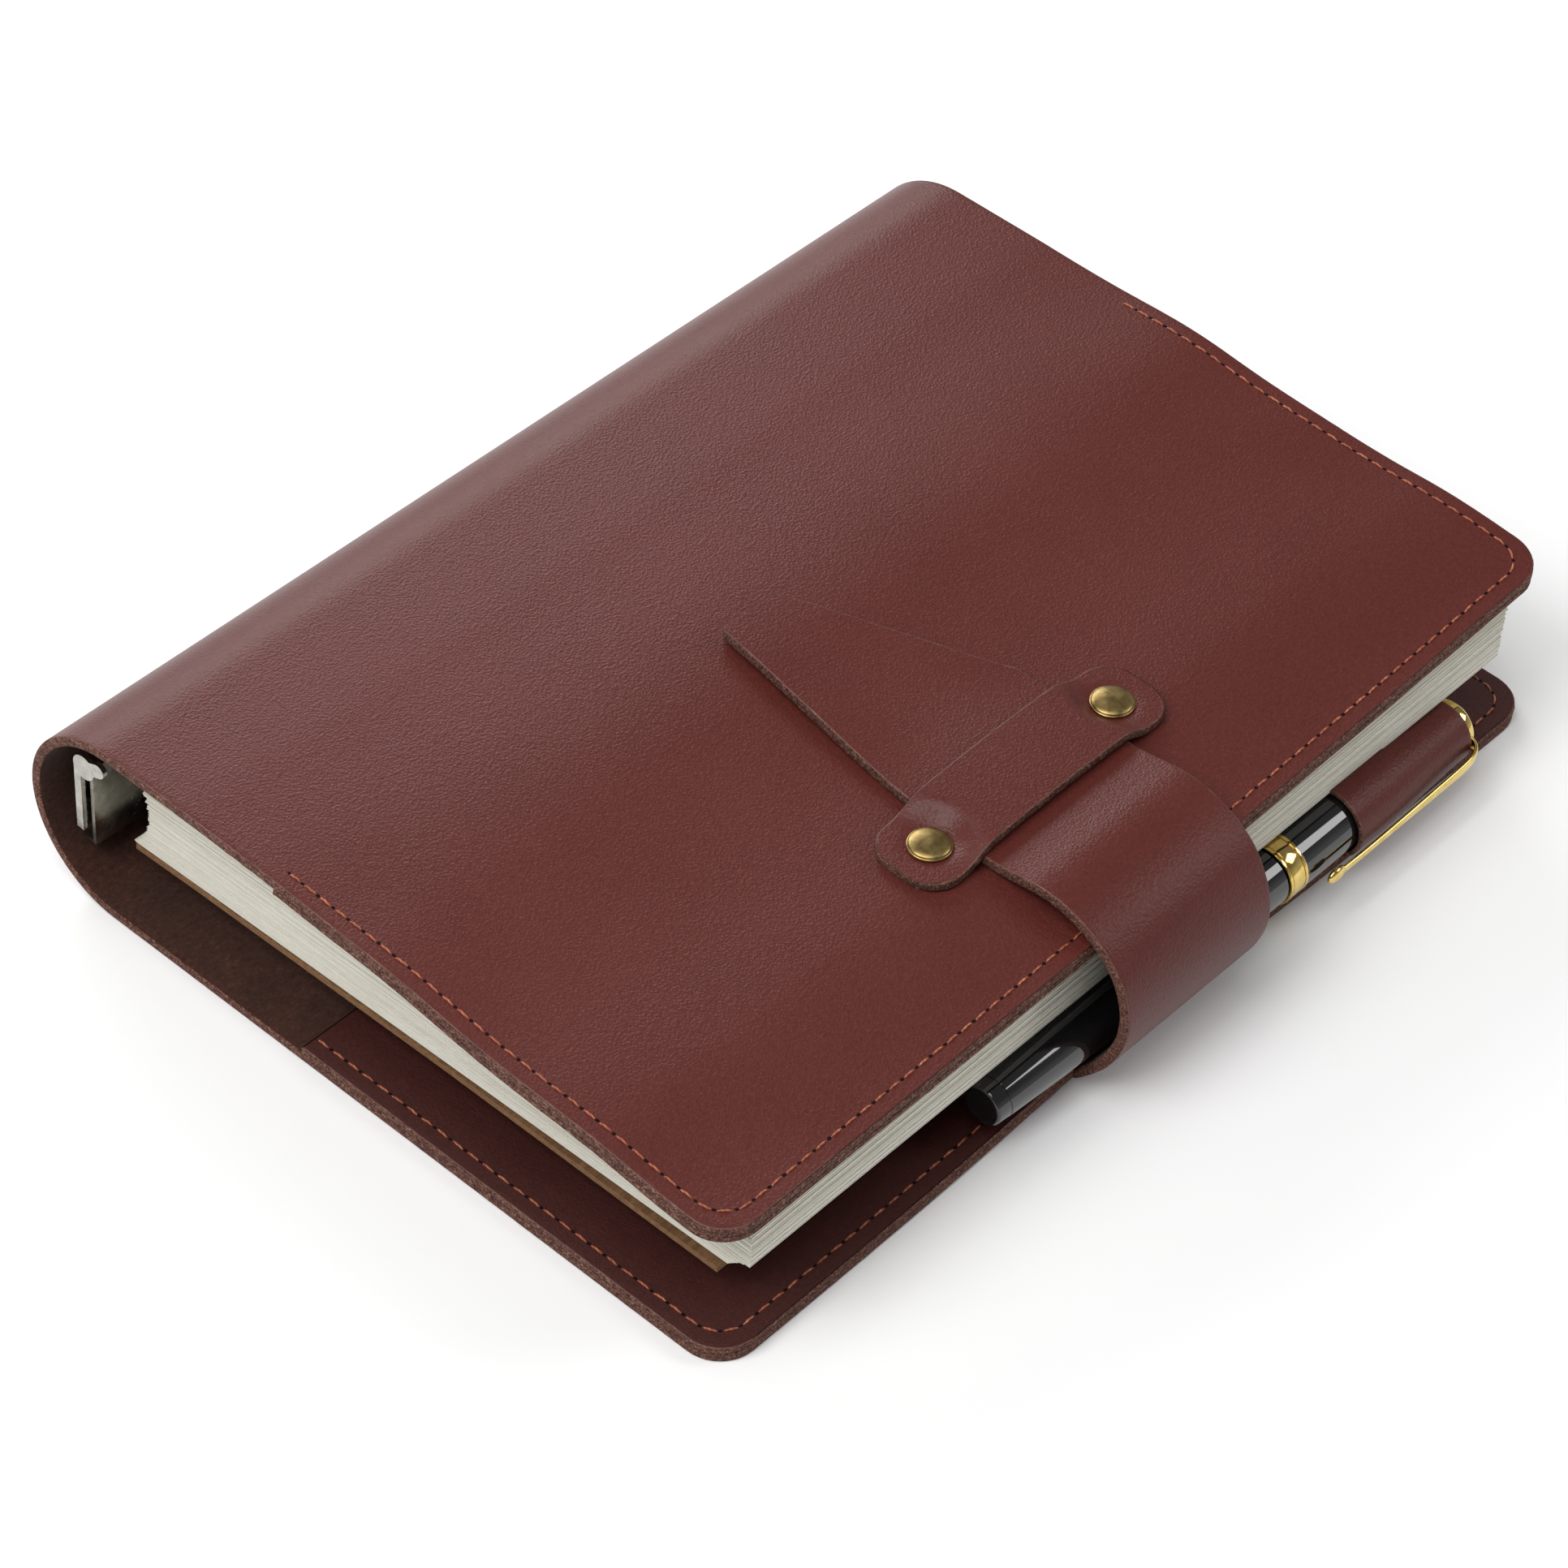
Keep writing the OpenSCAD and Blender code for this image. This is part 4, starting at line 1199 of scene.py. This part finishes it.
def spine_rivet_caps():
    """The ring plate's two rivets, with domed heads on the outside of the spine."""
    turn = math.asin((RING_Z - SPINE_R) / SPINE_R)
    out = (-math.cos(turn), 0.0, math.sin(turn))
    middle = np.array((SPINE_X, 0.0, SPINE_R)) + SPINE_R * np.array(out)
    ys = (plate_rivets_low[1] + RIVET_R, plate_rivets_high[1] - RIVET_R)
    sites = [((middle[0], y, middle[2]), out) for y in ys]
    reach = plate_rivets_high[0] - middle[0]
    post = [(2.4, -reach), (2.4, 0.4 - reach), (1.8, 0.4 - reach), (1.8, 0.0)]
    obj = turned_set("spine_rivet_caps", sites, post + domed_cap(RIVET_R, 0.4, 0.5), NICKEL)
    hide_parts("plate_rivets")
    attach(obj, "root")


def dress_cad_nodes():
    """Gives each CAD node that stays in view its material."""
    finishes = {"ring_steel": NICKEL, "pen_lacquer": LACQUER, "pen_gold": GOLD, "cartridge_plastic": PLASTIC}
    slots = {row["node"]: row["material_slot"] for row in frame["record"]["subparts"]}
    for name, obj in frame["nodes"].items():
        if obj.hide_render:
            continue
        for place in obj.material_slots:
            place.material = finishes[slots[name]]
        if not obj.material_slots:
            obj.data.materials.append(finishes[slots[name]])


# ---------------------------------------------------------------- studio


def floor():
    size = 6000
    points = [(-size, -size, -0.05), (size, -size, -0.05), (size, size, -0.05), (-size, size, -0.05)]
    obj = mesh_object("floor", points, [(0, 1, 2, 3)], (pale_floor("floor_white"),))


def softbox(name, azimuth, elevation, distance, size, power):
    """A rectangular light that faces the object, from an azimuth and elevation like the camera's."""
    a, e = math.radians(azimuth), math.radians(elevation)
    out = Vector((math.sin(a) * math.cos(e), -math.cos(a) * math.cos(e), math.sin(e)))
    light = bpy.data.lights.new(name, "AREA")
    light.shape = "RECTANGLE"
    light.size, light.size_y = size
    light.energy = power
    obj = bpy.data.objects.new(name, light)
    obj.location = out * distance
    obj.rotation_euler = (-out).to_track_quat("-Z", "Y").to_euler()
    bpy.context.scene.collection.objects.link(obj)


def studio():
    world = bpy.data.worlds.new("studio")
    bpy.context.scene.world = world
    world.use_nodes = True
    tree = world.node_tree
    direction = tree.nodes.new("ShaderNodeTexCoord").outputs["Generated"]
    split = tree.nodes.new("ShaderNodeSeparateXYZ")
    tree.links.new(direction, split.inputs["Vector"])
    pale, dim = (0.45, 0.45, 0.45), (0.18, 0.18, 0.18)
    sky = ramp(tree, split.outputs["Z"], [(0.10, pale), (0.45, dim)])
    tree.links.new(sky, tree.nodes["Background"].inputs["Color"])
    softbox("crest_softbox", 246, 30, 0.75, (0.6, 0.3), 2.7)
    softbox("top_softbox", 10, 70, 1.4, (1.0, 1.0), 8.5)
    softbox("right_softbox", 137, 38, 1.2, (0.4, 0.4), 2.5)
    softbox("front_fill", 345, 48, 1.5, (0.9, 0.9), 12)
    bpy.context.scene.view_settings.view_transform = "Standard"


def camera():
    a, e, roll = (math.radians(v) for v in (VIEW_AZIMUTH, VIEW_ELEVATION, VIEW_ROLL))
    out = Vector((math.sin(a) * math.cos(e), -math.cos(a) * math.cos(e), math.sin(e)))
    data = bpy.data.cameras.new("camera")
    data.lens = LENS
    data.sensor_width = 36
    data.clip_start, data.clip_end = 0.05, 30
    obj = bpy.data.objects.new("camera", data)
    obj.location = (Vector(VIEW_TARGET) + out * VIEW_DISTANCE) * MM
    turn = (-out).to_track_quat("-Z", "Y").to_matrix().to_4x4()
    obj.rotation_euler = (turn @ Matrix.Rotation(roll, 4, "Z")).to_euler()
    bpy.context.scene.collection.objects.link(obj)
    bpy.context.scene.camera = obj


camera()
cover_leather()
pockets()
all_stitching()
strap_leather()
keeper_leather()
keeper_rivet_caps()
spine_rivet_caps()
pen_loop_leather()
leaves()
divider_board()
pen_cap()
pen_barrel()
pen_gold()
pen_clip()
dress_cad_nodes()
floor()
studio()
